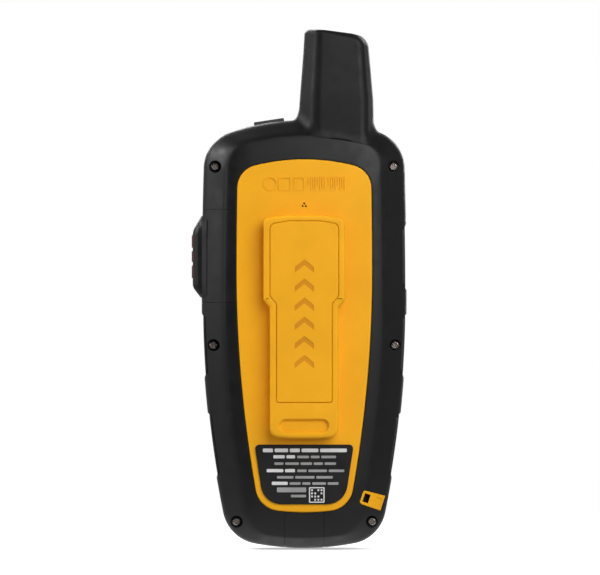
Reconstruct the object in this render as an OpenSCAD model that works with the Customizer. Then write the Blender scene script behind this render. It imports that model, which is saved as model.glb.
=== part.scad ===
// Handheld satellite distress beacon with a stub antenna, a guarded SOS key and a mounting spine.
// +Z is up, the antenna points up, the back faces +Y and the display faces -Y. Millimetres.

/* [Case] */
// Half of the case width at its widest
case_half_w = 32.4; // [32:0.1:32.8]
// Height of the top of the case at its centre line
case_top_z = 135.2; // [134.8:0.1:135.6]
// Height at which the case is widest
case_mid_z = 78.4; // [77:0.2:80]
// Radius of the top corners
case_top_r = 12.3; // [11.5:0.1:13]
// Radius of the bottom corners
case_bottom_r = 12.3; // [11.5:0.1:13]
// Wall thickness of both housings
wall = 2.8; // [2.7:0.05:2.9]
// Thickness of the pieces let into the outside of the rear housing
skin = 1.35; // [1.3:0.05:1.35]

/* [Depth] */
// Front faces of the keys
keys_y = -19; // [-19.2:0.1:-18.9]
// Front face of the case
front_y = -18.4; // [-18.5:0.05:-18.3]
// Plane where the two housings meet
parting_y = -9; // [-9.2:0.1:-8.9]
// Back of the case at its plateau
plateau_y = 12.8; // [12.7:0.05:12.9]
// Outer face of the back plate
plate_y = 13.4; // [13.3:0.05:13.5]
// Outer face of the mounting spine
spine_y = 19; // [18.8:0.1:19.2]

/* [Antenna] */
// Height of the antenna tip
antenna_tip_z = 164; // [162:0.5:166]

/* [Moving parts] */
// Travel of the keys on the front
key_travel = 0.6; // [0.3:0.1:0.6]
// Radius of the direction pad
dpad_r = 10.5; // [10:0.1:10.6]
// Radius of the two round keys
key_r = 4.3; // [4:0.1:4.4]
// Radius of the SOS button
sos_button_r = 4.6; // [4.2:0.1:4.7]
// Radius of the SOS hinge pin
pin_r = 0.5; // [0.4:0.05:0.55]

/* [Fasteners] */
// Radius of the case screw shanks
screw_r = 0.96; // [0.9:0.02:0.98]
// Radius of the screw counterbores
counterbore_r = 1.95; // [1.8:0.05:2]

/* [Hidden] */

// The case centre line lies left of the middle of the overall width, which the SOS cover widens
axis_x = -1.58;
// Clearance round a piece that is let into another
gap = 0.05;
// Longer than the part in any direction, for cuts that go right through
far = 60;
black = "#262626";
yellow = "#f0a828";

// Outlines: half width, mid height, top height, top arch radius, top corner radius, upper side
// radius, lower side radius, bottom corner radius, bottom arch radius, bottom height
case_edge = [case_half_w, case_mid_z, case_top_z, 75, case_top_r, 1400, 336, case_bottom_r, 85, 0];
ridge_edge = [25.3, case_mid_z, 130.3, 80, 10, 1400, 340, 10, 80, 3.6];
plate_edge = [21.8, 88, 123.1, 64, 7.8, 1400, 400, 8.4, 70, 11.1];
arch_centre = [0, case_edge[2] - case_edge[3]];

// Rear profile: place between the outlines, y, tilt of the surface
rear_profile = [
    [0, parting_y, 0], [0, 4, 0], [0.04, 5, 20], [0.14, 6.1, 42],
    [0.88, 10.85, 45], [1.08, 11.65, 65], [2, plateau_y, 90]
];
// Front profile: inset from the case edge, y, tilt of the surface
front_profile = [
    [5.2, front_y, 90], [2.9, front_y + 0.8, 60], [1.4, front_y + 2.5, 25],
    [0.6, front_y + 4.9, 5], [0, parting_y, 0]
];
rear_inside_y = plateau_y - wall;

screw_places = [[28.1, 120.4], [28.6, 64.1], [21.3, 8.5]];
screw_seat_y = 5.6;
boss_r = 3;
insert_top_y = parting_y - 1.3;
insert_len = 4.2;

board_front_y = -8;
board_rear_y = -7;
board_line = rounded(both_sides([[21, 14, 2], [24.6, 50, 8], [24.6, 123.5, 2]]));
post_places = [[22.3, 118.3], [14, 18]];

key_z = 38;
key_x = 19.3;
key_bottom_y = -10.3;
tilt_y = -16.2;

sos_z = [77.6, 106.9];
sos_hinge = [33.7, -7.15];
sos_pin_z = [83.3, 100.7];
knuckle_r = 1.05;
knuckles_z = [[83.2, 86.2], [97.8, 100.8]];
sos_button_at = [-1.5, 92];

button_angle = 8.5;
button_y = -0.5;

usb_angle = 162;
usb_at = [-25.9, 13.9];
usb_hinge_y = 2.1;
// Place along the strap where it goes under the edge of the housing
strap_end = -0.4;

insert_r = 1.45;
seal_in = 0.95;
seal_out = 1.5;
lens_half_w = 20.5;
lens_back_y = front_y + 1.2;
light_at = [0, 119];
vent_at = [0, 108.7];
coax_path = [[-5.9, 117.5], [-5.9, 125], [1.4, 134], [1.4, 156]];
spine_neck = 10.8;
spine_head = 12.8;
inlay_depth = 0.6;
label_thickness = 0.15;
print_y = plate_y + label_thickness;
print_thickness = 0.04;
dome_places = [
    [-key_x, key_z], [key_x, key_z], [-6.5, key_z], [6.5, key_z], [0, key_z - 6.5], [0, key_z + 6.5]
];

function arc(centre, r, a0, a1, n) =
    [for (i = [0 : n - 1]) centre + r * [cos(a0 + (a1 - a0) * i / n), sin(a0 + (a1 - a0) * i / n)]];

function angle_from(a, b) = atan2(b.y - a.y, b.x - a.x);

// Point at distance ra from a and rb from b, on the upper (side 1) or lower (side -1) hand
function circles_meet(a, ra, b, rb, side) =
    let (reach = norm(b - a))
    let (along = (ra * ra - rb * rb + reach * reach) / (2 * reach))
    let (across = sqrt(ra * ra - along * along))
    let (dir = (b - a) / reach)
    a + along * dir + side * across * [-dir.y, dir.x];

// One half of a closed arched outline, from the bottom centre up the +X side
function half_outline(s, inset) =
    let (top_c = [0, s[2] - s[3]])
    let (up_c = [s[0] - s[5], s[1]])
    let (low_c = [s[0] - s[6], s[1]])
    let (bottom_c = [0, s[9] + s[8]])
    let (corner_t = circles_meet(up_c, s[5] - s[4], top_c, s[3] - s[4], 1))
    let (corner_b = circles_meet(low_c, s[6] - s[7], bottom_c, s[8] - s[7], -1))
    let (a_bottom = angle_from(bottom_c, corner_b))
    let (a_low = angle_from(low_c, corner_b))
    let (a_up = angle_from(up_c, corner_t))
    let (a_top = angle_from(top_c, corner_t))
    concat(
        arc(bottom_c, s[8] - inset, -90, a_bottom, 4),
        arc(corner_b, s[7] - inset, a_bottom, a_low, 8),
        arc(low_c, s[6] - inset, a_low, 0, 7),
        arc(up_c, s[5] - inset, 0, a_up, 3),
        arc(corner_t, s[4] - inset, a_up, a_top, 8),
        arc(top_c, s[3] - inset, a_top, 90, 6)
    );

function outline(s, inset = 0) =
    let (half = half_outline(s, inset))
    concat(half, [[0, s[2] - inset]], [for (i = [len(half) - 1 : -1 : 1]) [-half[i].x, half[i].y]]);

function at_depth(points, y) = [for (p = points) [p.x, y, p.y]];

// Ring of the rear surface, moved in by t along its tilt
function rear_ring(p, t) =
    let (inset = t * cos(p[2]))
    let (outer = outline(case_edge, inset))
    let (ridge = outline(ridge_edge, inset))
    let (inner = outline(plate_edge, inset))
    let (points = p[0] <= 1
        ? (1 - p[0]) * outer + p[0] * ridge
        : (2 - p[0]) * ridge + (p[0] - 1) * inner)
    at_depth(points, p[1] - t * sin(p[2]));

function front_ring(p, t) = at_depth(outline(case_edge, p[0] + t * cos(p[2])), p[1] + t * sin(p[2]));

function rear_rings(t) = [for (p = rear_profile) rear_ring(p, t)];
function front_rings(t) = [for (p = front_profile) front_ring(p, t)];
function moved(ring, dy) = [for (p = ring) p + [0, dy, 0]];
function without_first(rings) = [for (i = [1 : len(rings) - 1]) rings[i]];

// Closed skin over a list of rings that all have the same number of points
module loft(rings) {
    n = len(rings[0]);
    last = len(rings) - 1;
    polyhedron(
        points = [for (r = rings) each r],
        faces = concat(
            [[for (i = [n - 1 : -1 : 0]) i]],
            [[for (i = [0 : n - 1]) last * n + i]],
            [for (k = [0 : last - 1], i = [0 : n - 1])
                [k * n + i, k * n + (i + 1) % n, (k + 1) * n + (i + 1) % n]],
            [for (k = [0 : last - 1], i = [0 : n - 1])
                [k * n + i, (k + 1) * n + (i + 1) % n, (k + 1) * n + i]]
        ),
        convexity = 8
    );
}

module rear_solid(t = 0) {
    loft(rear_rings(t));
}

// Inside of the rear housing, open through the parting plane
module rear_cavity() {
    rings = rear_rings(wall);
    loft(concat([moved(rings[0], -1)], without_first(rings)));
}

module front_solid() {
    loft(front_rings(0));
}

module front_cavity() {
    rings = front_rings(wall);
    last = len(rings) - 1;
    loft([for (i = [0 : last]) i < last ? rings[i] : moved(rings[i], 1)]);
}

// Rounded corner b between a and c, as n steps of an arc
function corner_arc(a, b, c, r, n) =
    let (u = (a - b) / norm(a - b))
    let (v = (c - b) / norm(c - b))
    let (half = acos(u * v) / 2)
    let (centre = b + (u + v) / norm(u + v) * r / sin(half))
    let (a0 = angle_from(centre, b + u * r / tan(half)))
    let (a1 = angle_from(centre, b + v * r / tan(half)))
    let (turn = (a1 - a0 + 900) % 360 - 180)
    [for (i = [0 : n]) centre + r * [cos(a0 + turn * i / n), sin(a0 + turn * i / n)]];

function flat(p) = [p.x, p.y];

// Polygon whose corners [x, y, radius] are rounded
function rounded(c, n = 4) =
    [for (i = [0 : len(c) - 1])
        each corner_arc(
            flat(c[(i + len(c) - 1) % len(c)]), flat(c[i]), flat(c[(i + 1) % len(c)]), c[i].z, n)];

// Right half given from the bottom up, completed by its mirror image
function both_sides(half) =
    concat(half, [for (i = [len(half) - 1 : -1 : 0]) [-half[i].x, half[i].y, half[i].z]]);

function round_rect(x0, x1, z0, z1, r) = rounded([[x1, z0, r], [x1, z1, r], [x0, z1, r], [x0, z0, r]]);

// Moves a solid from the case centre line to the frame of the part
module on_axis() {
    translate([axis_x, 0, 0]) children();
}

// Axis of the SOS hinge between two heights, as a cylinder of radius r
module on_sos_hinge(r, z) {
    translate([sos_hinge.x, sos_hinge.y, z[0]]) cylinder(r = r, h = z[1] - z[0], $fn = 48);
}

// Prism along Y between two depths, from an outline drawn in X and Z
module slab(points, y0, y1) {
    translate([0, y1, 0]) rotate([90, 0, 0]) linear_extrude(y1 - y0) polygon(points);
}

module box(low, high) {
    translate(low) cube(high - low);
}

// Cylinder along Y from y0 to y1, at [x, z]
module rod_y(at, r, y0, y1, sides = 48) {
    translate([at.x, y1, at.y]) rotate([90, 0, 0]) cylinder(r = r, h = y1 - y0, $fn = sides);
}

// Cylinder along X from x0 to x1, at [y, z]
module rod_x(at, r, x0, x1, sides = 48) {
    translate([x0, at.x, at.y]) rotate([0, 90, 0]) cylinder(r = r, h = x1 - x0, $fn = sides);
}

module each_side() {
    children();
    mirror([1, 0, 0]) children();
}

module at_screws() {
    for (p = screw_places, side = [-1, 1]) translate([side * p.x, 0, p.y]) children();
}

module at_posts() {
    for (p = post_places, side = [-1, 1]) translate([side * p.x, 0, p.y]) children();
}

// Frame of the power button: origin on the top arch, +Z out of the case
module button_frame() {
    translate([0, button_y, arch_centre.y])
        rotate([0, button_angle, 0]) translate([0, 0, case_edge[3]]) children();
}

// Frame of the USB cap: origin on the case edge, +X out of the case, +Z along its hinge line
module usb_frame() {
    translate([usb_at.x, 0, usb_at.y]) rotate([0, usb_angle, 0]) children();
}

// Antenna section at the base, as corners [x, y, radius], and the same corners at the tip
antenna_base = [
    [1.5, -3, 4], [1.5, 5, 3], [-3.1, 11, 2.5], [-19.4, 11, 2.5],
    [-21.9, 6.5, 3], [-21.9, -3, 4], [-17, -8.5, 4], [-3.5, -8.5, 4]
];
antenna_tip = [
    [0, -2, 3.5], [0, 4.2, 3], [-4.1, 9.2, 2.5], [-18, 9.2, 2.5],
    [-20.2, 5.6, 3], [-20.2, -2, 3.5], [-16.5, -6.8, 3.5], [-4, -6.8, 3.5]
];
antenna_middle = [-10.4, 1.4];
antenna_foot_z = 130.6;
antenna_straight_z = 141.6;
antenna_shoulder_z = 160.2;

// Sections grow fully sideways and only a little in depth, where the foot stays flush with the case
function grown(points, g) =
    [for (p = points)
        let (out = (p - antenna_middle) / norm(p - antenna_middle))
        p + g * [out.x, out.y * foot_depth_share(g)]];

function foot_depth_share(g) = g > 0.4 ? 0.15 : 1;

// Antenna section at a share of the way up, grown by g, laid along the arch by follow
function antenna_ring(z, share, g, follow) =
    let (corners = (1 - share) * antenna_base + share * antenna_tip)
    [for (p = grown(rounded(corners, 4), g)) [p.x, p.y, z - follow * p.x * p.x / (2 * case_edge[3])]];

// Domed end: the section shrinks along a quarter ellipse and leans towards the +X side
function antenna_dome(a, g) =
    let (rise = antenna_tip_z - antenna_shoulder_z)
    [for (p = antenna_ring(antenna_shoulder_z, 1, g, 0))
        let (in_x = (p.x - antenna_middle.x) * (1 - cos(a)) * 0.55)
        let (in_y = (p.y - antenna_middle.y) * (1 - cos(a)) * 0.6)
        let (lean = 0.09 * (p.x - in_x + 4) * sin(a))
        [p.x - in_x, p.y - in_y, p.z + (rise + g) * sin(a) + lean]];

function antenna_rings(g) = [
    antenna_ring(antenna_foot_z, 0, g, 0.4),
    antenna_ring(133.6, 0, g, 1),
    antenna_ring(134.9, 0, g + 2.4, 1),
    antenna_ring(135.7, 0, g + 1.2, 0.9),
    antenna_ring(137, 0, g + 0.5, 0.6),
    antenna_ring(138.8, 0, g + 0.2, 0.3),
    antenna_ring(antenna_straight_z, 0.05, g, 0),
    antenna_ring(antenna_shoulder_z, 1, g, 0),
    for (a = [25 : 25 : 75]) antenna_dome(a, g)
];

module antenna_solid(g = 0) {
    mirror([0, 1, 0]) loft([for (r = antenna_rings(g)) [for (p = r) [p.x, -p.y, p.z]]]);
}

// Grip scallops: low and high ends, on both sides and on the -X side only
grips_both = [[22.2, 43], [53.8, 74.3]];
grip_left = [81.3, 102.4];
grip_taper = 1.6;
grip_front_depth = 0.5;
grip_rear_depth = 1.3;
pad_thickness = 0.85;

// Band between two insets of the case edge, kept to one scallop on the +X side. The ends lean by
// taper and lie inside the scallop by short.
module grip_band(z, outer, inner, taper, short) {
    low = z[0] + short;
    high = z[1] - short;
    intersection() {
        difference() {
            polygon(outline(case_edge, outer));
            polygon(outline(case_edge, inner));
        }
        polygon([[20, low + taper], [34, low - taper], [34, high + taper], [20, high - taper]]);
    }
}

module grip_bands(outer, inner, taper, short) {
    for (z = grips_both) {
        grip_band(z, outer, inner, taper, short);
        mirror([1, 0, 0]) grip_band(z, outer, inner, taper, short);
    }
    mirror([1, 0, 0]) grip_band(grip_left, outer, inner, taper, short);
}

module grip_prisms(outer, inner, y0, y1, taper = 0, short = 0) {
    translate([0, y1, 0]) rotate([90, 0, 0]) linear_extrude(y1 - y0)
        grip_bands(outer, inner, taper, short);
}

// Regions of the outer skin that separate pieces fill
module sos_region(g = 0) {
    box([22.4 - g, -7.6 - g, sos_z[0] - g], [far, far, sos_z[1] + g]);
}

module bottom_region(g = 0) {
    box([-6.2 - g, -7.6 - g, -far], [6.1 + g, far, 12.6 + g]);
}

module usb_cap_region(g = 0) {
    usb_frame() box([-4.5, -8 - g, -5.2 - g], [far, usb_hinge_y - gap + g, 5.2 + g]);
}

module usb_anchor_region(g = 0) {
    usb_frame() box([-8.4 - g, usb_hinge_y + gap - g, -2.45 - g], [strap_end + g, far, 2.45 + g]);
}

// V-shaped groove along the hinge line of the USB cap, which leaves room for it to swing
module usb_hinge_groove() {
    usb_frame() translate([0, usb_hinge_y, 0]) linear_extrude(10.6, center = true)
        polygon([[-0.1, 0], [3, -3.2], [3, 3.2]]);
}

module let_in_regions() {
    difference() {
        union() {
            sos_region(gap);
            bottom_region(gap);
            usb_cap_region(gap);
            usb_anchor_region(gap);
        }
        loft(concat([moved(rear_rings(skin + gap)[0], -1)], without_first(rear_rings(skin + gap))));
    }
}

module front_housing() {
    color(black) on_axis() difference() {
        front_solid();
        difference() {
            front_cavity();
            at_screws() rod_y([0, 0], boss_r, -far, far);
            at_posts() rod_y([0, 0], 2.1, -far, board_front_y);
        }
        at_screws() rod_y([0, 0], insert_r, insert_top_y - insert_len, far);
        at_posts() rod_y([0, 0], 0.8, -14.4, far);
        difference() {
            slab(outline(case_edge, seal_in - 0.02), parting_y - 1, far);
            slab(outline(case_edge, seal_out + 0.02), -far, far);
        }
        slab(round_rect(-lens_half_w - gap, lens_half_w + gap, 57.4, 114.6, 3), -far, lens_back_y + 0.15);
        slab(round_rect(-18.2, 18.2, 60.2, 111.8, 1.5), -far, -10);
        rod_y([0, key_z], dpad_r + 0.5, -far, -10);
        each_side() rod_y([key_x, key_z], key_r + 0.25, -far, -10);
        rod_y(light_at, 1.2, -far, -10);
        grip_prisms(-5, grip_front_depth, front_y + 3.4, far, grip_taper * 0.4);
        antenna_solid(gap);
    }
}

module rear_housing() {
    color(black) on_axis() difference() {
        rear_solid();
        difference() {
            rear_cavity();
            at_screws() rod_y([0, 0], boss_r, -far, far);
        }
        at_screws() rod_y([0, 0], 1.15, -far, far);
        at_screws() rod_y([0, 0], counterbore_r, screw_seat_y, far);
        plate_recess();
        rod_y(vent_at, 1.5, 0, far);
        rod_y(vent_at, 3, plateau_y - 1.5, far);
        let_in_regions();
        rod_x(sos_button_at, sos_button_r + 0.25, 20, far);
        usb_frame() box([-9, -7.3, -4.2], [far, -4, 4.2]);
        usb_hinge_groove();
        button_frame() box([-5.1, -3.3, -10], [5.1, 3.3, far]);
        grip_prisms(-5, grip_rear_depth, parting_y - 1, far, grip_taper * 0.5);
        antenna_solid(gap);
    }
}

module antenna_cover() {
    color(black) on_axis() difference() {
        antenna_solid();
        antenna_hollow();
    }
}

// Straight-sided room inside the antenna cover, open at the foot
module antenna_hollow() {
    translate([antenna_middle.x, antenna_middle.y, antenna_foot_z - 1]) cylinder(r = 7.1, h = 30.4, $fn = 48);
}

module plate_recess() {
    slab(outline(plate_edge, 0.3), plateau_y - 0.95, far);
}

module back_plate() {
    color(yellow) on_axis() difference() {
        loft([
            at_depth(outline(plate_edge, 0.4), plateau_y - 0.9),
            at_depth(outline(plate_edge, 0.4), plate_y - 0.45),
            at_depth(outline(plate_edge, 0.9), plate_y)
        ]);
        for (hole = [[-0.55, -0.3], [0.55, -0.3], [0, 0.6]]) rod_y(vent_at + hole, 0.25, 0, far, 16);
    }
}

module spine_shape(neck, head, bottom, shoulder, top, r_bottom, r_top) {
    polygon(rounded(both_sides([
        [neck, bottom, r_bottom], [neck, shoulder, 0.6], [head, shoulder + 2.4, 0.6], [head, top - 1, r_top],
        [head * 0.45, top, 12]
    ])));
}

module spine_slab(neck, head, bottom, shoulder, top, r_bottom, r_top, y0, y1) {
    translate([0, y1, 0]) rotate([90, 0, 0]) linear_extrude(y1 - y0)
        spine_shape(neck, head, bottom, shoulder, top, r_bottom, r_top);
}

module mounting_spine() {
    color(yellow) on_axis() difference() {
        union() {
            slab(round_rect(-spine_neck, spine_neck, 34.9, 104, 2.8), plate_y, spine_y - 2.9);
            spine_slab(spine_neck, spine_head, 34.9, 76, 105.1, 2.8, 2, spine_y - 2.9, spine_y);
        }
        spine_slab(8.75, 10.8, 46.15, 77.2, 103.25, 1.6, 1.6, spine_y - inlay_depth, far);
        slab(round_rect(-7.65, 7.65, 36.8, 40.8, 1.6), spine_y - 2, far);
    }
}

module spine_inlay() {
    color(yellow) on_axis() difference() {
        spine_slab(8.7, 10.75, 46.2, 77.2, 103.2, 1.6, 1.6, spine_y - inlay_depth, spine_y);
        for (i = [0 : 5]) translate([0, 0, 57 + 6 * i])
            slab([[-3, 0], [0, 2.4], [3, 0], [3, 1.7], [0, 4.1], [-3, 1.7]], spine_y - 0.25, far);
    }
}

module rating_label() {
    color("#141414") on_axis()
        slab(rounded(both_sides([[12, 13.8, 4.6], [15.5, 32.9, 1.3]])), plate_y, plate_y + label_thickness);
}

module label_bars() {
    color("silver") on_axis() {
        for (i = [0 : 5])
            slab(round_rect(-12 + 0.4 * i, 12 - 0.4 * i, 30.4 - 1.9 * i, 31.4 - 1.9 * i, 0.3),
                print_y, print_y + print_thickness);
        slab(round_rect(-6.4, -1.5, 14.6, 19.5, 0.3), print_y, print_y + print_thickness);
        slab(round_rect(-0.6, 8.6, 17.9, 19.5, 0.3), print_y, print_y + print_thickness);
    }
}

module vent_membrane() {
    color("white") on_axis() rod_y(vent_at, 2.9, plateau_y - 1.5, plateau_y - 1.1);
}

module sos_bezel() {
    color(black) on_axis() difference() {
        union() {
            intersection() {
                difference() {
                    rear_solid();
                    rear_solid_inner();
                }
                sos_region(-gap / 2);
            }
            for (z = knuckles_z) sos_knuckle(z);
        }
        on_sos_hinge(pin_r + 0.02, sos_pin_z);
        rod_x(sos_button_at, sos_button_r + 0.25, 20, far);
        slab(outline(plate_edge, -0.6), 0, far);
    }
}

// Fixed knuckle of the SOS hinge, with the web that joins it to the bezel
module sos_knuckle(z) {
    on_sos_hinge(knuckle_r, z);
    box([31.4, sos_hinge.y - 0.35, z[0]], [sos_hinge.x, sos_hinge.y + knuckle_r, z[1]]);
}

module rear_solid_inner() {
    rings = rear_rings(skin);
    loft(concat([moved(rings[0], -1)], without_first(rings)));
}

module bottom_insert() {
    color(black) on_axis() difference() {
        intersection() {
            rear_solid();
            bottom_region(-gap / 2);
        }
        rear_solid_inner();
        plate_recess();
    }
}

module side_grips() {
    color("#333333") on_axis()
        grip_prisms(grip_rear_depth - pad_thickness, grip_rear_depth - gap, parting_y + 0.6, 5.2, 0, 0.6);
}

module housing_gasket() {
    color("#3a3a3a") on_axis() difference() {
        slab(outline(case_edge, seal_in), parting_y - 1, parting_y);
        slab(outline(case_edge, seal_out), -far, far);
        antenna_solid(0.2);
    }
}

module case_screws() {
    color("#2b2b2b") on_axis() at_screws() difference() {
        union() {
            rod_y([0, 0], 1.35, screw_seat_y, screw_seat_y + 1.2);
            rod_y([0, 0], screw_r, insert_top_y - insert_len + 0.4, screw_seat_y + 0.1);
        }
        rod_y([0, 0], 0.75, screw_seat_y + 0.5, far, 6);
    }
}

module threaded_inserts() {
    color("#b08d3c") on_axis() at_screws() difference() {
        rod_y([0, 0], insert_r, insert_top_y - insert_len, insert_top_y);
        rod_y([0, 0], 1, -far, far);
    }
}

module display_lens() {
    color("#1a1c1e") on_axis()
        slab(round_rect(-lens_half_w, lens_half_w, 57.45, 114.55, 2.95), front_y, lens_back_y);
}

module lens_adhesive() {
    color("#444444") on_axis() difference() {
        slab(round_rect(-20.3, 20.3, 57.8, 114.2, 2.6), lens_back_y, lens_back_y + 0.15);
        slab(round_rect(-18.4, 18.4, 60, 112, 1.5), -far, far);
    }
}

module display_panel() {
    color("#5f6b5a") on_axis() slab(round_rect(-19.6, 19.6, 59.4, 112.6, 0.5), -15.5, -13.8);
}

module display_frame() {
    color("silver") on_axis() difference() {
        slab(round_rect(-20.5, 20.5, 58.5, 113.5, 1), -15.5, -12.4);
        slab(round_rect(-19.65, 19.65, 59.35, 112.65, 0.5), -far, -13.8);
    }
}

module keypad_mat() {
    color("#dddddd") on_axis() {
        slab(round_rect(-21.4, 21.4, 26, 50, 3), -9.3, -8.7);
        for (p = dome_places) rod_y(p, 2, -9.6, -9.3);
    }
}

module dome_switches() {
    color("silver") on_axis() for (p = dome_places)
        translate([p.x, board_front_y, p.y])
            rotate([90, 0, 0]) cylinder(r1 = 2.4, r2 = 1.4, h = 0.4, $fn = 48);
}

module light_pipe() {
    color("white") on_axis() rod_y(light_at, 1.15, front_y + 0.1, -9.2);
}

module status_led() {
    color("#d8f0d0") on_axis()
        box([light_at.x - 0.8, -8.8, light_at.y - 0.5], [light_at.x + 0.8, board_front_y, light_at.y + 0.5]);
}

module main_board() {
    color("#1d5c3a") on_axis() difference() {
        slab(board_line, board_front_y, board_rear_y);
        at_posts() rod_y([0, 0], 0.95, -far, far);
    }
}

module board_screws() {
    color("silver") on_axis() at_posts() difference() {
        union() {
            rod_y([0, 0], 0.78, -13.6, board_rear_y + 0.1);
            rod_y([0, 0], 1.4, board_rear_y, board_rear_y + 0.8);
        }
        rod_y([0, 0], 0.5, board_rear_y + 0.3, far, 6);
    }
}

module rf_shield() {
    color("silver") on_axis() difference() {
        box([-16, -10.4, 66], [10, board_front_y, 98]);
        box([-15.7, -10.1, 66.3], [9.7, 0, 97.7]);
    }
}

module satellite_modem() {
    color("#c9c9c4") on_axis() slab(round_rect(-15, 15, 34, 66, 0.6), board_rear_y, -3);
}

module gps_antenna() {
    color("#d9cfb4") on_axis() slab(round_rect(1.5, 17.5, 99, 115, 0.8), board_rear_y, -3);
}

module battery_tray() {
    color("#3b3b3b") on_axis() {
        slab(round_rect(-19.5, 19.5, 29, 86, 2), -2.6, -1.7);
        for (p = [[17.6, 32], [17.6, 83]], side = [-1, 1])
            rod_y([side * p.x, p.y], 1.3, board_rear_y, -2.5);
    }
}

module battery_pack() {
    color("#2f4f86") on_axis() slab(round_rect(-19, 19, 30, 85, 1.5), -1.7, 8);
}

module battery_foam() {
    color("#55585a") on_axis() slab(round_rect(-14, 14, 36, 78, 1), 8, rear_inside_y - 0.05);
}

module buzzer() {
    color("#222222") on_axis() difference() {
        rod_y([-12, 97], 6, board_rear_y, -3.4);
        rod_y([-12, 97], 0.8, -4.4, far);
    }
}

module usb_socket() {
    color("silver") on_axis() usb_frame() difference() {
        box([-9.6, board_rear_y, -3.75], [-4.6, -4.3, 3.75]);
        box([-9, -6.7, -3.4], [0, -4.6, 3.4]);
    }
}

module power_switch() {
    color("#888888") on_axis() button_frame() {
        box([-3, -2.5, -9], [3, 2.5, -5.6]);
        translate([0, 0, -5.7]) cylinder(r = 1.2, h = 1.1, $fn = 32);
    }
}

module sos_switch() {
    color("#888888") on_axis() {
        box([20.4, board_rear_y, 88.5], [25.6, 1, 95.5]);
        rod_x(sos_button_at, 1.2, 25.6, 27.5);
    }
}

module antenna_former() {
    color("#e6e2d6") on_axis() translate([antenna_middle.x, antenna_middle.y, 0]) difference() {
        union() {
            translate([0, 0, 136.4]) cylinder(r = 5.4, h = 22.8, $fn = 48);
            translate([0, 0, 135]) cylinder(r = 7, h = 1.4, $fn = 48);
        }
        cylinder(r = 3.6, h = 400, $fn = 48);
    }
}

// Flat strip wound three quarters of a turn round the former from one turn angle
module helix_strip(start) {
    steps = 18;
    rise = 20;
    strip = [[5.45, -0.8], [5.45, 0.8], [5.85, 0.8], [5.85, -0.8]];
    loft([for (i = [0 : steps])
        let (a = start + 270 * i / steps)
        let (z = 137.2 + rise * i / steps)
        [for (c = strip) [c[0] * cos(a), c[0] * sin(a), z + c[1]]]
    ]);
}

module antenna_winding() {
    color("#b87333") on_axis() translate([antenna_middle.x, antenna_middle.y, 0])
        for (i = [0 : 3]) helix_strip(90 * i);
}

module coax_run(from, to) {
    run = to - from;
    translate([0, from.x, from.y])
        rotate([-atan2(run.x, run.y), 0, 0]) cylinder(r = 0.7, h = norm(run), $fn = 24);
    translate([0, to.x, to.y]) sphere(r = 0.8, $fn = 24);
}

module antenna_coax() {
    color("#8a7a5a") on_axis() translate([antenna_middle.x, 0, 0]) {
        rod_y([0, 117], 1.6, board_rear_y, -4.8);
        for (i = [1 : len(coax_path) - 1]) coax_run(coax_path[i - 1], coax_path[i]);
    }
}

module sos_hinge_pin() {
    color("silver") on_axis() on_sos_hinge(pin_r, sos_pin_z);
}

module usb_cap_anchor() {
    color(yellow) on_axis() difference() {
        intersection() {
            rear_solid();
            usb_anchor_region(-gap / 2);
        }
        rear_solid_inner();
        usb_hinge_groove();
        usb_frame() box([-7.4, 0, -1.5], [-5.9, far, 1.5]);
    }
}

module usb_cap() {
    color(yellow) on_axis() {
        difference() {
            intersection() {
                rear_solid();
                usb_cap_region(-gap / 2);
            }
            rear_solid_inner();
            usb_hinge_groove();
        }
        usb_frame() box([-3.6, -6.6, -3.2], [-1, -4.4, 3.2]);
    }
}

// Outside of the SOS cover seen along the hinge, [x, y, radius]
cover_profile = [
    [32, -8.3, 0.3], [34.7, -8.3, 1], [35.25, -6.2, 1.5], [35.25, 4.7, 2],
    [32.9, 5.25, 1.2], [30.8, 7.15, 0.35], [30.35, 6.7, 0.1]
];
// The cover seen from the back, with sloping ends
cover_face = [
    [30, 79.1, 0.3], [32.4, 79.1, 0.6], [35.4, 82.3, 1.2], [35.4, 100.4, 1.2], [32.4, 105, 0.6], [30, 105, 1]
];
cover_bore_z = [83, 101];
// Room inside the cover, and how far in the wall at its hinge may reach to swing clear of the button
cover_room_y = [-6.35, 3.6];
cover_heel_x = 32.8;

module sos_cover() {
    color(black) on_axis() difference() {
        intersection() {
            union() {
                difference() {
                    translate([0, 0, 70]) linear_extrude(50) polygon(rounded(cover_profile, 5));
                    box([0, -far, 0], [sos_hinge.x, sos_hinge.y, 200]);
                    box([0, -far, 0], [cover_heel_x, cover_room_y[0], 200]);
                }
                on_sos_hinge(knuckle_r, [70, 120]);
            }
            slab(rounded(cover_face), -far, far);
        }
        loft(rear_rings(-0.06));
        slab([[0, 80.4], [33.9, 82.9], [33.9, 100.2], [0, 103.4]], cover_room_y[0], cover_room_y[1]);
        for (z = knuckles_z) box([0, -far, z[0] - 0.1], [far, -5.95, z[1] + 0.1]);
        on_sos_hinge(pin_r + 0.06, cover_bore_z);
    }
}

module sos_cover_ridges() {
    color("#c8321e") on_axis() for (z = [[94.9, 98.9], [90.4, 93.9], [85.3, 89.3]])
        box([35.25, -4.6, z[0]], [35.57, 1.6, z[1]]);
}

module sos_button() {
    color("#c8321e") on_axis() {
        rod_x(sos_button_at, sos_button_r, 29.3, 32.9);
        rod_x(sos_button_at, sos_button_r + 0.6, 28.4, 29.4);
    }
}

module power_button() {
    color(black) on_axis() button_frame() {
        slab(round_rect(-4.8, 4.8, -3.4, 0.85, 0.3), -3, 3);
        slab(round_rect(-5.6, 5.6, -3.9, -3.2, 0.2), -3.8, 3.8);
    }
}

module dpad_rocker() {
    color("#555555") on_axis() {
        rod_y([0, key_z], 8, key_bottom_y - 1.2, key_bottom_y);
        rod_y([0, key_z], 3, -13.5, key_bottom_y - 1.1);
    }
}

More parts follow.
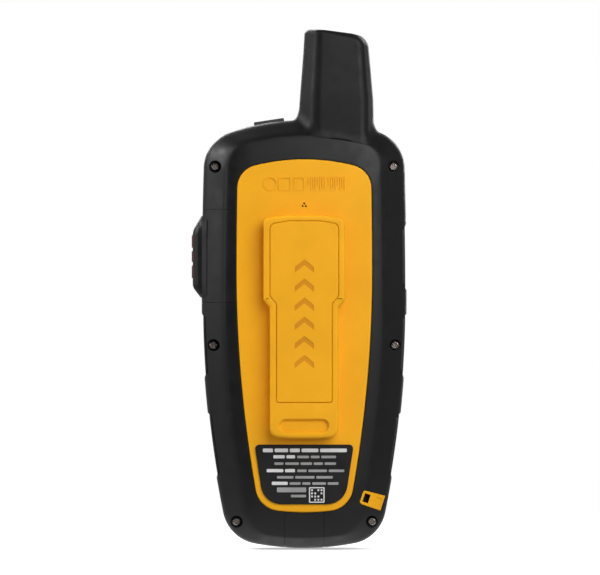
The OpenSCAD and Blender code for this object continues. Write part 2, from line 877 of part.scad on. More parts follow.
module dpad_key() {
    color("#3c3c3c") on_axis() {
        difference() {
            rod_y([0, key_z], dpad_r, keys_y, -14.5, 64);
            translate([0, keys_y - 29.3, key_z]) sphere(r = 30, $fn = 64);
        }
        rod_y([0, key_z], dpad_r + 1.3, -14.6, -13.9, 64);
    }
}

module round_key() {
    rod_y([0, key_z], key_r, keys_y, -15.4);
    rod_y([0, key_z], key_r + 0.8, -15.5, -14.9);
    rod_y([0, key_z], 1.5, -15, key_bottom_y);
}

module cancel_key() {
    color("#3c3c3c") on_axis() translate([-key_x, 0, 0]) round_key();
}

module confirm_key() {
    color("#3c3c3c") on_axis() translate([key_x, 0, 0]) round_key();
}

front_housing();
rear_housing();
antenna_cover();
back_plate();
mounting_spine();
spine_inlay();
rating_label();
label_bars();
vent_membrane();
sos_bezel();
bottom_insert();
side_grips();
housing_gasket();
case_screws();
threaded_inserts();
display_lens();
lens_adhesive();
display_panel();
display_frame();
keypad_mat();
dome_switches();
light_pipe();
status_led();
main_board();
board_screws();
rf_shield();
satellite_modem();
gps_antenna();
battery_tray();
battery_pack();
battery_foam();
buzzer();
usb_socket();
power_switch();
sos_switch();
antenna_former();
antenna_winding();
antenna_coax();
sos_hinge_pin();
usb_cap_anchor();
sos_cover();
sos_cover_ridges();
sos_button();
power_button();
dpad_rocker();
dpad_key();
cancel_key();
confirm_key();
usb_cap();
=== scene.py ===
from math import atan2, ceil, cos, hypot, pi, radians, sin, sqrt, tan

import bmesh
import bpy
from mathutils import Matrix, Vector
from mathutils.bvhtree import BVHTree


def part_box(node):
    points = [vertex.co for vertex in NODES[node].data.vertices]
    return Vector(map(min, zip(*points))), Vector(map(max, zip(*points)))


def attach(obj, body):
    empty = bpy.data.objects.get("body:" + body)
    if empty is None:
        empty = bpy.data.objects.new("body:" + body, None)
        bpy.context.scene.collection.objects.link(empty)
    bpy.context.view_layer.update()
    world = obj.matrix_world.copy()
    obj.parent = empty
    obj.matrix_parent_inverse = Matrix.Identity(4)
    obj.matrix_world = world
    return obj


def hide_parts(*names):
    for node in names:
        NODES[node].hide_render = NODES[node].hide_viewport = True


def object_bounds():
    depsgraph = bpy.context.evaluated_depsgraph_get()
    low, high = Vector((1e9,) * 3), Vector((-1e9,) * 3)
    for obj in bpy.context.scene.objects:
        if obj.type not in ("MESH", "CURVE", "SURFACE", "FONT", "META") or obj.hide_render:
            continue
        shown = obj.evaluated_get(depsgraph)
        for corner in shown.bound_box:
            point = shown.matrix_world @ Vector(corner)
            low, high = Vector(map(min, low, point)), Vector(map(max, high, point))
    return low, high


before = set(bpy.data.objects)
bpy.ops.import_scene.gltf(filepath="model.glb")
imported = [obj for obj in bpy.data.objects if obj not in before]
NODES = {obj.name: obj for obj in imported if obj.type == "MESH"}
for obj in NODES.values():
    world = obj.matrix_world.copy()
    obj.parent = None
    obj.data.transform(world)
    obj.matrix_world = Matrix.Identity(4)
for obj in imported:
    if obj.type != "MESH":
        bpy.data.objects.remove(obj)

MM = 0.001
CAD_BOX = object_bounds()


# ---- places taken from the parts in model.glb

def box_mm(node):
    low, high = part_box(node)
    return Vector(low) / MM, Vector(high) / MM


FRONT_LO, FRONT_HI = box_mm("front_housing")
PLATE_LO, PLATE_HI = box_mm("back_plate")
AXIS_X = (FRONT_LO.x + FRONT_HI.x) / 2
HALF_W = (FRONT_HI.x - FRONT_LO.x) / 2
FRONT_Y = FRONT_LO.y
PARTING_Y = FRONT_HI.y
PLATEAU_Y = box_mm("rear_housing")[1].y
PLATE_Y = PLATE_HI.y
SPINE_Y = box_mm("mounting_spine")[1].y
LABEL_Y = box_mm("rating_label")[1].y
WALL = 2.8
SKIN = 1.35


# ---- outlines in mm, as in the CAD

MID_Z = 78.4
TOP_Z = 135.2
CASE_EDGE = (HALF_W, MID_Z, TOP_Z, 75, 12.3, 1400, 336, 12.3, 85, 0)
RIDGE_EDGE = (25.3, MID_Z, 130.3, 80, 10, 1400, 340, 10, 80, 3.6)
PLATE_EDGE = (21.8, 88, 123.1, 64, 7.8, 1400, 400, 8.4, 70, 11.1)
TOP_ARCH_R = CASE_EDGE[3]


def polar(centre, r, a):
    return (centre[0] + r * cos(a), centre[1] + r * sin(a))


def arc(centre, r, a0, a1, n):
    return [polar(centre, r, a0 + (a1 - a0) * i / n) for i in range(n)]


def circles_meet(a, ra, b, rb, side):
    dx, dz = b[0] - a[0], b[1] - a[1]
    reach = hypot(dx, dz)
    along = (ra * ra - rb * rb + reach * reach) / (2 * reach)
    across = sqrt(ra * ra - along * along)
    ux, uz = dx / reach, dz / reach
    return (a[0] + along * ux - side * across * uz, a[1] + along * uz + side * across * ux)


def heading(a, b):
    return atan2(b[1] - a[1], b[0] - a[0])


def outline(s, inset=0.0, detail=4):
    """Closed arched outline in X and Z, counter-clockwise from the bottom centre."""
    top_c = (0, s[2] - s[3])
    up_c = (s[0] - s[5], s[1])
    low_c = (s[0] - s[6], s[1])
    bottom_c = (0, s[9] + s[8])
    corner_t = circles_meet(up_c, s[5] - s[4], top_c, s[3] - s[4], 1)
    corner_b = circles_meet(low_c, s[6] - s[7], bottom_c, s[8] - s[7], -1)
    a_bottom, a_low = heading(bottom_c, corner_b), heading(low_c, corner_b)
    a_up, a_top = heading(up_c, corner_t), heading(top_c, corner_t)
    half = (
        arc(bottom_c, s[8] - inset, -pi / 2, a_bottom, 4 * detail)
        + arc(corner_b, s[7] - inset, a_bottom, a_low, 6 * detail)
        + arc(low_c, s[6] - inset, a_low, 0, 14 * detail)
        + arc(up_c, s[5] - inset, 0, a_up, 8 * detail)
        + arc(corner_t, s[4] - inset, a_up, a_top, 6 * detail)
        + arc(top_c, s[3] - inset, a_top, pi / 2, 5 * detail)
    )
    left = [(-x, z) for x, z in reversed(half[1:])]
    return half + [(0, s[2] - inset)] + left


def mix(a, b, t):
    return [(p[0] * (1 - t) + q[0] * t, p[1] * (1 - t) + q[1] * t) for p, q in zip(a, b)]


def at_depth(points, y):
    return [(x + AXIS_X, y, z) for x, z in points]


def rear_ring(w, y, tilt, t, detail):
    inset = t * cos(tilt)
    ridge = outline(RIDGE_EDGE, inset, detail)
    if w <= 1:
        points = mix(outline(CASE_EDGE, inset, detail), ridge, w)
    else:
        points = mix(ridge, outline(PLATE_EDGE, inset, detail), w - 1)
    return at_depth(points, y - t * sin(tilt))


def smoothed(points):
    """Cuts the corners of an open line twice, keeping its ends."""
    for _ in range(2):
        cut = [points[0]]
        for a, b in zip(points, points[1:]):
            cut.append(tuple(0.75 * p + 0.25 * q for p, q in zip(a, b)))
            cut.append(tuple(0.25 * p + 0.75 * q for p, q in zip(a, b)))
        points = cut + [points[-1]]
    return points


REAR_PROFILE = smoothed([
    (0, PARTING_Y, 0), (0, -4, 0), (0, 1, 0), (0, 4, 0), (0.04, 5, 20), (0.14, 6.1, 42), (0.5, 8.45, 44),
    (0.88, 10.85, 45), (1.08, 11.65, 65), (1.5, 12.3, 80), (2, PLATEAU_Y, 90)])
REAR_INSIDE = [
    (0, PARTING_Y, 0), (0, 4, 0), (0.04, 5, 20), (0.14, 6.1, 42), (0.88, 10.85, 45), (1.08, 11.65, 65),
    (2, PLATEAU_Y, 90)]
FRONT_PROFILE = smoothed([
    (7.2, FRONT_Y, 90), (5.2, FRONT_Y, 90), (2.9, FRONT_Y + 0.8, 60), (1.4, FRONT_Y + 2.5, 25),
    (0.6, FRONT_Y + 4.9, 5), (0.3, FRONT_Y + 7, 2), (0, PARTING_Y, 0)])
FRONT_INSIDE = [(5.2, FRONT_Y, 90), (2.9, FRONT_Y + 0.8, 60), (1.4, FRONT_Y + 2.5, 25), (0.6, FRONT_Y + 4.9, 5),
                (0, PARTING_Y, 0)]


def rear_rings(profile, t=0.0, detail=4):
    return [rear_ring(w, y, radians(a), t, detail) for w, y, a in profile]


def front_rings(profile, t=0.0, detail=4):
    rings = []
    for inset, y, a in profile:
        tilt = radians(a)
        rings.append(at_depth(outline(CASE_EDGE, inset + t * cos(tilt), detail), y + t * sin(tilt)))
    return rings


# ---- mesh helpers

def make_object(name, mesh):
    obj = bpy.data.objects.new(name, mesh)
    bpy.context.scene.collection.objects.link(obj)
    return obj


def skin_faces(rings, n):
    """Four-cornered faces between neighbours among a number of rings of n points."""
    return [(k * n + i, k * n + (i + 1) % n, (k + 1) * n + (i + 1) % n, (k + 1) * n + i)
            for k in range(rings - 1) for i in range(n)]


def loft(name, rings):
    """Closed solid through rings of equal length, given in mm."""
    n = len(rings[0])
    verts = [tuple(c * MM for c in p) for ring in rings for p in ring]
    ends = [tuple(range(n - 1, -1, -1)), tuple((len(rings) - 1) * n + i for i in range(n))]
    mesh = bpy.data.meshes.new(name)
    mesh.from_pydata(verts, [], ends + skin_faces(len(rings), n))
    fix_normals(mesh)
    return make_object(name, mesh)


def fix_normals(mesh):
    """Turns all faces outwards and splits the end faces, which may be hollow-cornered, into triangles."""
    bm = bmesh.new()
    bm.from_mesh(mesh)
    bmesh.ops.recalc_face_normals(bm, faces=bm.faces)
    ends = [f for f in bm.faces if len(f.verts) > 4]
    bmesh.ops.triangulate(bm, faces=ends, ngon_method="EAR_CLIP")
    bm.to_mesh(mesh)
    bm.free()


def prism(name, points, y0, y1):
    return loft(name, [at_depth(points, y0), at_depth(points, y1)])


def box(name, low, high):
    """Box given in mm of the case's own centre line."""
    (x0, y0, z0), (x1, y1, z1) = low, high
    return prism(name, [(x0, z0), (x1, z0), (x1, z1), (x0, z1)], y0, y1)


def disc(r, at, n=48):
    return [polar(at, r, 2 * pi * i / n) for i in range(n)]


def turned(name, at, profile, n=48):
    """Round solid along Y with its (y, radius) profile."""
    return loft(name, [at_depth(disc(r, at, n), y) for y, r in profile])


def rod_y(name, at, r, y0, y1, n=48):
    return turned(name, at, ((y0, r), (y1, r)), n)


def bake(obj):
    """Applies the object's modifiers to its mesh."""
    graph = bpy.context.evaluated_depsgraph_get()
    mesh = bpy.data.meshes.new_from_object(obj.evaluated_get(graph))
    old = obj.data
    obj.modifiers.clear()
    obj.data = mesh
    bpy.data.meshes.remove(old)


def combine(obj, others, operation):
    """Boolean of the object with others, which are used up."""
    for other in others:
        modifier = obj.modifiers.new(operation, "BOOLEAN")
        modifier.operation = operation
        modifier.solver = "MANIFOLD"
        modifier.object = other
    bake(obj)
    for other in others:
        bpy.data.objects.remove(other)
    return obj


def cut(obj, *others):
    return combine(obj, others, "DIFFERENCE")


def join(obj, *others):
    return combine(obj, others, "UNION")


def keep_common(obj, *others):
    return combine(obj, others, "INTERSECT")


def offset_polygon(points, d):
    """Moves a closed counter-clockwise line inwards by d, point by point."""
    n = len(points)
    moved = []
    for i, p in enumerate(points):
        a, b = points[i - 1], points[(i + 1) % n]
        ux, uz = p[0] - a[0], p[1] - a[1]
        vx, vz = b[0] - p[0], b[1] - p[1]
        lu, lv = hypot(ux, uz) or 1, hypot(vx, vz) or 1
        nx, nz = -(uz / lu + vz / lv), ux / lu + vx / lv
        size = hypot(nx, nz) or 1
        nx, nz = nx / size, nz / size
        stretch = 1 / max(0.5, (-uz * nx + ux * nz) / lu)
        moved.append((p[0] + nx * d * stretch, p[1] + nz * d * stretch))
    return moved


def rounded(corners, n=8):
    """Polygon whose corners (x, z, radius) are rounded."""
    points = []
    count = len(corners)
    for i, (x, z, r) in enumerate(corners):
        a, c = corners[i - 1], corners[(i + 1) % count]
        u = Vector((a[0] - x, a[1] - z)).normalized()
        v = Vector((c[0] - x, c[1] - z)).normalized()
        half = u.angle(v) / 2
        centre = Vector((x, z)) + (u + v).normalized() * r / sin(half)
        start = Vector((x, z)) + u * r / tan(half)
        end = Vector((x, z)) + v * r / tan(half)
        a0, a1 = heading(centre, start), heading(centre, end)
        turn = (a1 - a0 + 3 * pi) % (2 * pi) - pi
        points += [polar(centre, r, a0 + turn * k / n) for k in range(n + 1)]
    return points


def both_sides(half):
    return half + [(-x, z, r) for x, z, r in reversed(half)]


def round_rect(x0, x1, z0, z1, r, n=8):
    return rounded([(x1, z0, r), (x1, z1, r), (x0, z1, r), (x0, z0, r)], n)


def refined(points, step):
    """Adds points so that no stretch of the closed line is longer than step."""
    fine = []
    for i, p in enumerate(points):
        q = points[(i + 1) % len(points)]
        parts = max(1, ceil(hypot(q[0] - p[0], q[1] - p[1]) / step))
        fine += [(p[0] + (q[0] - p[0]) * k / parts, p[1] + (q[1] - p[1]) * k / parts) for k in range(parts)]
    return fine


def stacked(name, points, levels):
    """Solid along Y through copies of a closed line, one for each (inset, y)."""
    return loft(name, [at_depth(offset_polygon(points, inset), y) for inset, y in levels])


def quarter(steps):
    """(1 - cos, 1 - sin) over a quarter turn: how far in and how far down a rounded edge is."""
    angles = [pi / 2 * k / steps for k in range(steps + 1)]
    return [(1 - cos(a), 1 - sin(a)) for a in angles]


def soft_slab(name, points, y0, y1, edge, steps, low_edge=0.0):
    """Slab along Y whose rim at y1 is rounded with a radius of edge, and at y0 with low_edge."""
    levels = [(low_edge and low_edge + 0.05, y0)]
    if low_edge:
        levels += [(low_edge * s, y0 + low_edge * c) for c, s in quarter(steps)]
    levels += [(edge * c, y1 - edge * s) for c, s in quarter(steps)]
    return stacked(name, points, levels + [(edge + 0.05, y1)])


# ---- materials

class Nodes:
    """Short way to build the node tree of a material or world."""

    def __init__(self, owner):
        self.owner = owner
        owner.use_nodes = True
        self.tree = owner.node_tree

    def add(self, kind, **settings):
        made = self.tree.nodes.new(kind)
        for key, value in settings.items():
            setattr(made, key, value)
        return made

    def link(self, source, target):
        self.tree.links.new(source, target)

    def put(self, socket, value):
        """Links a socket to another, or sets it to a colour or a number."""
        if hasattr(value, "links"):
            self.link(value, socket)
        elif isinstance(value, tuple):
            socket.default_value = (*value, 1)
        else:
            socket.default_value = value

    def calc(self, operation, a, b):
        made = self.add("ShaderNodeMath", operation=operation)
        self.put(made.inputs[0], a)
        self.put(made.inputs[1], b)
        return made.outputs[0]

    def axes(self, vector):
        made = self.add("ShaderNodeSeparateXYZ")
        self.link(vector, made.inputs["Vector"])
        return made.outputs

    def mix_shaders(self, factor, a, b):
        made = self.add("ShaderNodeMixShader")
        for socket, value in zip(made.inputs, (factor, a, b)):
            self.link(value, socket)
        return made.outputs["Shader"]

    def spread(self, source, low, high, start=0.35, end=0.65):
        """Maps the source from start and end to low and high."""
        made = self.add("ShaderNodeMapRange")
        for key, value in (("From Min", start), ("From Max", end), ("To Min", low), ("To Max", high)):
            made.inputs[key].default_value = value
        self.link(source, made.inputs["Value"])
        return made.outputs["Result"]


class Surface(Nodes):
    """Node tree of a new material, in the piece's own coordinates."""

    def __init__(self, name):
        super().__init__(bpy.data.materials.new(name))
        self.shader = self.tree.nodes["Principled BSDF"]
        self.place = self.add("ShaderNodeTexCoord").outputs["Object"]

    def mapped(self, setting, value):
        """The piece's own coordinates, scaled or turned."""
        made = self.add("ShaderNodeMapping")
        made.inputs[setting].default_value = value
        self.link(self.place, made.inputs["Vector"])
        return made.outputs["Vector"]

    def noise(self, scale, detail, roughness=0.5, place=None):
        made = self.add("ShaderNodeTexNoise")
        made.inputs["Scale"].default_value = scale
        made.inputs["Detail"].default_value = detail
        made.inputs["Roughness"].default_value = roughness
        self.link(place or self.place, made.inputs["Vector"])
        return made.outputs["Fac"]

    def blend_colours(self, factor, a, b):
        made = self.add("ShaderNodeMix", data_type="RGBA")
        self.link(factor, made.inputs["Factor"])
        self.put(made.inputs[6], a)
        self.put(made.inputs[7], b)
        return made.outputs[2]

    def relief(self, height, strength, distance, edge):
        """Bump from a height signal, over edges rounded by the edge radius in metres."""
        bump = self.add("ShaderNodeBump")
        bump.inputs["Strength"].default_value = strength
        bump.inputs["Distance"].default_value = distance
        self.link(height, bump.inputs["Height"])
        if edge:
            round_edge = self.add("ShaderNodeBevel", samples=4)
            round_edge.inputs["Radius"].default_value = edge
            self.link(round_edge.outputs["Normal"], bump.inputs["Normal"])
        self.link(bump.outputs["Normal"], self.shader.inputs["Normal"])

    def feed(self, name, value):
        self.put(self.shader.inputs[name], value)


def shade_of(colour, factor):
    return tuple(min(1.0, c * factor) for c in colour)


def moulded(name, colour, rough=0.45, grain=5200, grain_depth=0.00002, mottle=0.12, specular=0.5, edge=0.00015,
            strength=0.35):
    """Moulded plastic or rubber: spark-eroded grain, slight mottling and uneven gloss."""
    n = Surface(name)
    patches = n.spread(n.noise(90, 4), 0, 1)
    n.feed("Base Color", n.blend_colours(patches, shade_of(colour, 1 - mottle), shade_of(colour, 1 + mottle)))
    n.feed("Roughness", n.spread(n.noise(260, 3), rough - 0.05, rough + 0.06))
    n.feed("Specular IOR Level", specular)
    n.relief(n.noise(grain, 2, 0.6), strength, grain_depth, edge)
    return n.owner


def metal(name, colour, rough=0.3):
    """Brushed metal."""
    n = Surface(name)
    grain = n.noise(4000, 2, 0.5, n.mapped("Scale", (1, 1, 0.05)))
    n.feed("Base Color", n.blend_colours(grain, shade_of(colour, 0.85), shade_of(colour, 1.1)))
    n.feed("Metallic", 1.0)
    n.feed("Roughness", n.spread(grain, rough - 0.06, rough + 0.08))
    n.relief(grain, 0.15, 0.00001, 0.0001)
    return n.owner


def clear_window(name):
    """Smoked hard-coated window: clear over the display, printed black round it."""
    n = Surface(name)
    place = n.axes(n.place)
    low, high = box_mm("display_panel")
    frame_w = 1.6
    inside = 1.0
    for axis, a, b in (("X", low.x + frame_w, high.x - frame_w), ("Z", low.z + frame_w, high.z - frame_w)):
        for sign, limit in ((1, a), (-1, b)):
            within = n.calc("GREATER_THAN", n.calc("MULTIPLY", place[axis], sign), sign * limit * MM)
            inside = n.calc("MULTIPLY", inside, within)
    n.feed("Base Color", n.blend_colours(inside, (0.006, 0.006, 0.007), (0.9, 0.92, 0.93)))
    n.feed("Transmission Weight", n.calc("MULTIPLY", inside, 0.92))
    n.feed("Roughness", n.spread(n.noise(60, 3), 0.03, 0.07))
    n.feed("IOR", 1.46)
    n.feed("Coat Weight", 0.3)
    return n.owner


def display_material(name):
    """Reflective display with a generic chart: depth contours and a fine grid, no lettering."""
    n = Surface(name)
    hills = n.noise(55, 2, 0.45)
    line = n.spread(n.calc("PINGPONG", hills, 0.045), 1, 0, 0.002, 0.006)
    water = n.spread(hills, 0, 1, 0.5, 0.52)
    ground = n.blend_colours(water, (0.12, 0.22, 0.27), (0.36, 0.37, 0.27))
    grid = n.add("ShaderNodeTexBrick", offset=0.0)
    for key, value in (("Scale", 105), ("Mortar Size", 0.012), ("Brick Width", 1), ("Row Height", 1)):
        grid.inputs[key].default_value = value
    n.link(n.mapped("Rotation", (radians(90), 0, 0)), grid.inputs["Vector"])
    drawn = n.blend_colours(line, ground, (0.06, 0.09, 0.08))
    n.feed("Base Color", n.blend_colours(grid.outputs["Fac"], drawn, (0.15, 0.18, 0.17)))
    n.feed("Roughness", 0.28)
    n.feed("Emission Color", n.blend_colours(line, ground, (0.1, 0.14, 0.13)))
    n.feed("Emission Strength", 0.08)
    return n.owner


BLACK = (0.0045, 0.0045, 0.0047)
YELLOW = (0.80, 0.37, 0.008)
YELLOW_GLOSS = 0.16
CASE_BLACK = moulded("case_black", BLACK, rough=0.42, specular=0.24)
ANTENNA_BLACK = moulded("antenna_black", BLACK, rough=0.48, grain=6500, specular=0.2, edge=0.0002)
GRIP_BLACK = moulded("grip_black", shade_of(BLACK, 0.8), rough=0.6, grain=3000, grain_depth=0.00004,
                     edge=0.0001)
CASE_YELLOW = moulded("case_yellow", YELLOW, rough=0.5, mottle=0.03, edge=0.0002, strength=0.25,
                      specular=YELLOW_GLOSS)
CAP_YELLOW = moulded("cap_yellow", shade_of(YELLOW, 0.97), rough=0.55, mottle=0.04, grain=4200, edge=0.0002,
                     specular=YELLOW_GLOSS)
# Darker yellow for the floors of the spine's chevron grooves: painted shade in the recesses.
GROOVE_SHADE_YELLOW = moulded("mark_yellow", (0.62, 0.25, 0.006), rough=0.55, mottle=0.05, edge=0.00005,
                      specular=YELLOW_GLOSS)
LABEL_BLACK = moulded("label_black", (0.006, 0.006, 0.006), rough=0.4, grain=9000, grain_depth=0.000005,
                      edge=0.0001, specular=0.25)
LABEL_GREY, LABEL_WHITE = [moulded(name, (c, c, c), grain=8000, grain_depth=0.000004, edge=0.0)
                           for name, c in (("label_grey", 0.27), ("label_white", 0.62))]
KEY_BLACK = moulded("key_black", (0.02, 0.02, 0.021), rough=0.5, grain=4200, edge=0.0003)
RED = moulded("signal_red", (0.42, 0.012, 0.008), rough=0.42, mottle=0.05, edge=0.0002, specular=0.3)
NYLON = moulded("dark_nylon", (0.03, 0.03, 0.03), rough=0.55)
SILICONE = moulded("pale_silicone", (0.62, 0.62, 0.6), rough=0.5, mottle=0.04)
BOARD = moulded("solder_mask", (0.01, 0.09, 0.035), rough=0.3, mottle=0.2)
CERAMIC = moulded("dielectric", (0.55, 0.48, 0.34), rough=0.5, mottle=0.06)
WRAP = moulded("battery_wrap", (0.02, 0.06, 0.22), rough=0.3, mottle=0.08)
FOAM = moulded("foam", (0.08, 0.08, 0.085), rough=0.9, grain=1800, grain_depth=0.0001)
JACKET = moulded("coax_jacket", (0.2, 0.12, 0.05), rough=0.5)
GLOW = moulded("light_pipe_clear", (0.8, 0.82, 0.8), rough=0.15, mottle=0.02)
STEEL = metal("tinned_steel", (0.62, 0.62, 0.6))
SCREW_STEEL = metal("browned_steel", (0.22, 0.19, 0.175), rough=0.3)
BRASS = metal("brass", (0.72, 0.52, 0.22))
COPPER = metal("copper", (0.75, 0.36, 0.2))
LENS = clear_window("lens")
DISPLAY = display_material("display")

NODE_MATERIALS = {
    "vent_membrane": SILICONE, "housing_gasket": GRIP_BLACK, "threaded_inserts": BRASS, "lens_adhesive": NYLON,
    "display_panel": DISPLAY, "display_frame": STEEL, "keypad_mat": SILICONE, "dome_switches": STEEL,
    "light_pipe": GLOW, "status_led": GLOW, "main_board": BOARD, "board_screws": STEEL, "rf_shield": STEEL,
    "satellite_modem": STEEL, "gps_antenna": CERAMIC, "battery_tray": NYLON, "battery_pack": WRAP,
    "battery_foam": FOAM, "buzzer": NYLON, "usb_socket": STEEL, "power_switch": NYLON, "sos_switch": NYLON,
    "antenna_former": CERAMIC, "antenna_winding": COPPER, "antenna_coax": JACKET, "sos_hinge_pin": STEEL,
    "power_button": KEY_BLACK, "dpad_rocker": NYLON,
}


def paint(obj, material):
    obj.data.materials.clear()
    obj.data.materials.append(material)


def finish_piece(obj, body, material, slot, *replaced, angle=32):
    obj.data.shade_smooth()
    obj.data.set_sharp_from_angle(angle=radians(angle))
    even = obj.modifiers.new("even_normals", "WEIGHTED_NORMAL")
    even.keep_sharp = True
    paint(obj, material)
    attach(obj, body)
    if replaced:
        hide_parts(*replaced)


# ---- places that several pieces share, in mm

SCREWS = [(side * x, z) for x, z in ((28.1, 120.4), (28.6, 64.1), (21.3, 8.5)) for side in (-1, 1)]
SCREW_SEAT_Y = 5.6
VENT = (0, 108.7)
SOS_Z = (77.6, 106.9)
SOS_BUTTON, SOS_BUTTON_R = (-1.5, 92), 4.6
KEY_Z, KEY_X, DPAD_R, KEY_R = 38, 19.3, 10.5, 4.3
LENS_Z = (57.45, 114.55)
LENS_HALF_W = 20.5
SOS_HINGE, KNUCKLE_R, KNUCKLES_Z = (33.7, -7.15), 1.05, ((83.2, 86.2), (97.8, 100.8))
USB_AT, USB_TURN, USB_HINGE_Y = (-25.9, 13.9), radians(162), 2.1
STRAP_END = -1.15
SEAM = 0.07


def across_x(name, levels):
    """Solid along X through lines in Y and Z, one for each (x, line)."""
    return loft(name, [[(AXIS_X + x, y, z) for y, z in line] for x, line in levels])


def rod_x(name, at, r, x0, x1):
    return across_x(name, [(x, disc(r, at, 64)) for x in (x0, x1)])


def placed(name, rings, centre, turn):
    """Loft whose ring points (u, y, w) lie in a frame at the centre, turned about Y."""
    c, s = cos(turn), sin(turn)
    return loft(name, [[(AXIS_X + centre[0] + u * c + w * s, y, centre[1] - u * s + w * c) for u, y, w in ring]
                       for ring in rings])


def usb_box(name, low, high):
    """Box in the frame of the USB port."""
    (u0, y0, w0), (u1, y1, w1) = low, high
    rings = [[(u0, y, w0), (u1, y, w0), (u1, y, w1), (u0, y, w1)] for y in (y0, y1)]
    return placed(name, rings, USB_AT, USB_TURN)


# ---- antenna

ANTENNA_BASE = ((1.5, -3, 4), (1.5, 5, 5), (-3.1, 11, 5), (-19.4, 11, 3.2),
                (-21.9, 6.5, 4), (-21.9, -3, 4), (-17, -8.5, 4), (-3.5, -8.5, 4))
ANTENNA_TIP = ((0, -2, 3.5), (0, 4.2, 4.2), (-4.1, 9.2, 4.2), (-18, 9.2, 2.8),
               (-20.2, 5.6, 3.5), (-20.2, -2, 3.5), (-16.5, -6.8, 3.5), (-4, -6.8, 3.5))
ANTENNA_MID = (-10.4, 1.4)
HOLLOW_Z = (124.6, 160)
ANTENNA_TOP_Z = 163.8
ANTENNA_FILLET, FILLET_STRETCH = 2.8, 1.9
# Height and share of the way from the base section to the tip section
ANTENNA_WALL = ((141.6, 0.05), (146, 0.28), (151, 0.53), (156, 0.79))


def surface_tree(rings):
    """Search tree over the skin through rings, in mm."""
    verts = [p for ring in rings for p in ring]
    return BVHTree.FromPolygons(verts, skin_faces(len(rings), len(rings[0])))


CASE_TREE = surface_tree(front_rings(FRONT_PROFILE) + rear_rings(REAR_PROFILE)[1:])


def case_top(x, y):
    """Height of the case under a point of its own centre line's frame."""
    hit = CASE_TREE.ray_cast(Vector((x + AXIS_X, y, 200)), Vector((0, 0, -1)))[0]
    return hit.z if hit else 0.0


def antenna_outline(share):
    """Section of the antenna at a share of the way from its base to its tip."""
    return rounded([tuple(a * (1 - share) + b * share for a, b in zip(p, q))
                    for p, q in zip(ANTENNA_BASE, ANTENNA_TIP)], 10)


def outward_normals(points):
    """Unit normals of a closed clockwise or counter-clockwise line, away from the antenna's middle."""
    normals = []
    for i, p in enumerate(points):
        a, b = points[i - 1], points[(i + 1) % len(points)]
        n = Vector((b[1] - a[1], a[0] - b[0])).normalized()
        if n.dot(Vector((p[0] - ANTENNA_MID[0], p[1] - ANTENNA_MID[1]))) < 0:
            n = -n
        normals.append(n)
    return normals


def fillet_from_wall(p, n, radius, steps):
    """Points (reach, height) of a tall arc from the wall at p down to the case, along the normal n."""
    line = [(0.1 * k, case_top(p[0] + n.x * 0.1 * k, p[1] + n.y * 0.1 * k) / FILLET_STRETCH) for k in range(75)]
    low, high = line[0][1] - 2, line[0][1] + 20

    def nearest(height):
        return min((hypot(r - radius, h - height), r, h) for r, h in line)

    for _ in range(30):
        middle = (low + high) / 2
        if nearest(middle)[0] < radius:
            low = middle
        else:
            high = middle
    _, r, h = nearest(high)
    end = atan2(h - high, r - radius) % (2 * pi)
    return [(radius + radius * cos(a), (high + radius * sin(a)) * FILLET_STRETCH)
            for a in (end + (pi - end) * k / steps for k in range(steps + 1))]


def antenna_fall(x):
    """Share of the full fall of the antenna's sloping top at x."""
    return min(max(-x / 20, 0), 1) ** 2


def antenna_top(x):
    return ANTENNA_TOP_Z - 2.4 * antenna_fall(x)


def towards_mid(x, y, share):
    return x + (ANTENNA_MID[0] - x) * share, y + (ANTENNA_MID[1] - y) * share


def antenna_rings(gap=0.0):
    base = antenna_outline(0)
    normals = outward_normals(base)
    steps = 9
    arcs = [fillet_from_wall(p, n, ANTENNA_FILLET, steps) for p, n in zip(base, normals)]

    def foot(k, inwards, down):
        return [(p[0] + n.x * (a[k][0] - inwards + gap), p[1] + n.y * (a[k][0] - inwards + gap), a[k][1] - down)
                for p, n, a in zip(base, normals, arcs)]

    rings = [foot(0, 0.5, 3.2), foot(0, 0.12, 0.9)] + [foot(k, 0, 0) for k in range(steps + 1)]
    for z, share in ANTENNA_WALL:
        rings.append([(x + n.x * gap, y + n.y * gap, z) for (x, y), n in zip(antenna_outline(share), normals)])
    shoulder = []
    for (x, y), (u, w), n in zip(antenna_outline(0.79), antenna_outline(1), normals):
        fall = antenna_fall(x)
        low = antenna_top(x) - 1.5 - 2.2 * fall
        k = min(1.2, (low - 156) / 4.2)
        shoulder.append((x + (u - x) * k + n.x * gap, y + (w - y) * k + n.y * gap, fall))
    for c, s in quarter(12):
        ring = []
        for x, y, fall in shoulder:
            px, py = towards_mid(x, y, (0.15 + 0.22 * fall) * c)
            ring.append((px, py, antenna_top(px) - (1.5 + 2.2 * fall) * s))
        rings.append(ring)
    for share in (0.2, 0.45, 0.7, 0.9):
        inner = [towards_mid(x, y, share) for x, y, z in ring]
        rings.append([(x, y, antenna_top(x)) for x, y in inner])
    return [[(x + AXIS_X, y, z) for x, y, z in r] for r in rings]


def antenna():
    solid = loft("antenna_skin", antenna_rings())
    cut(solid, loft("hollow", [[(AXIS_X + x, y, z) for x, y in disc(7.1, ANTENNA_MID)] for z in HOLLOW_Z]))
    finish_piece(solid, "case", ANTENNA_BLACK, "case_black", "antenna_cover", angle=40)


# ---- rear housing and what is let into it

def rear_inner(name, t, detail):
    rings = rear_rings(REAR_INSIDE, t, detail)
    rings[0] = [(x, y - 1, z) for x, y, z in rings[0]]
    return loft(name, rings)


def skin_region(region):
    """What is left of a region outside the surface that lies a skin's thickness in."""
    return cut(region, rear_inner("inner", SKIN + 0.05, 2))


def sos_region(g):
    return box("sos_region", (22.4 - g, -7.6 - g, SOS_Z[0] - g), (60, 60, SOS_Z[1] + g))


def bottom_region(g):
    return box("bottom_region", (-6.2 - g, -7.6 - g, -60), (6.1 + g, 60, 12.6 + g))


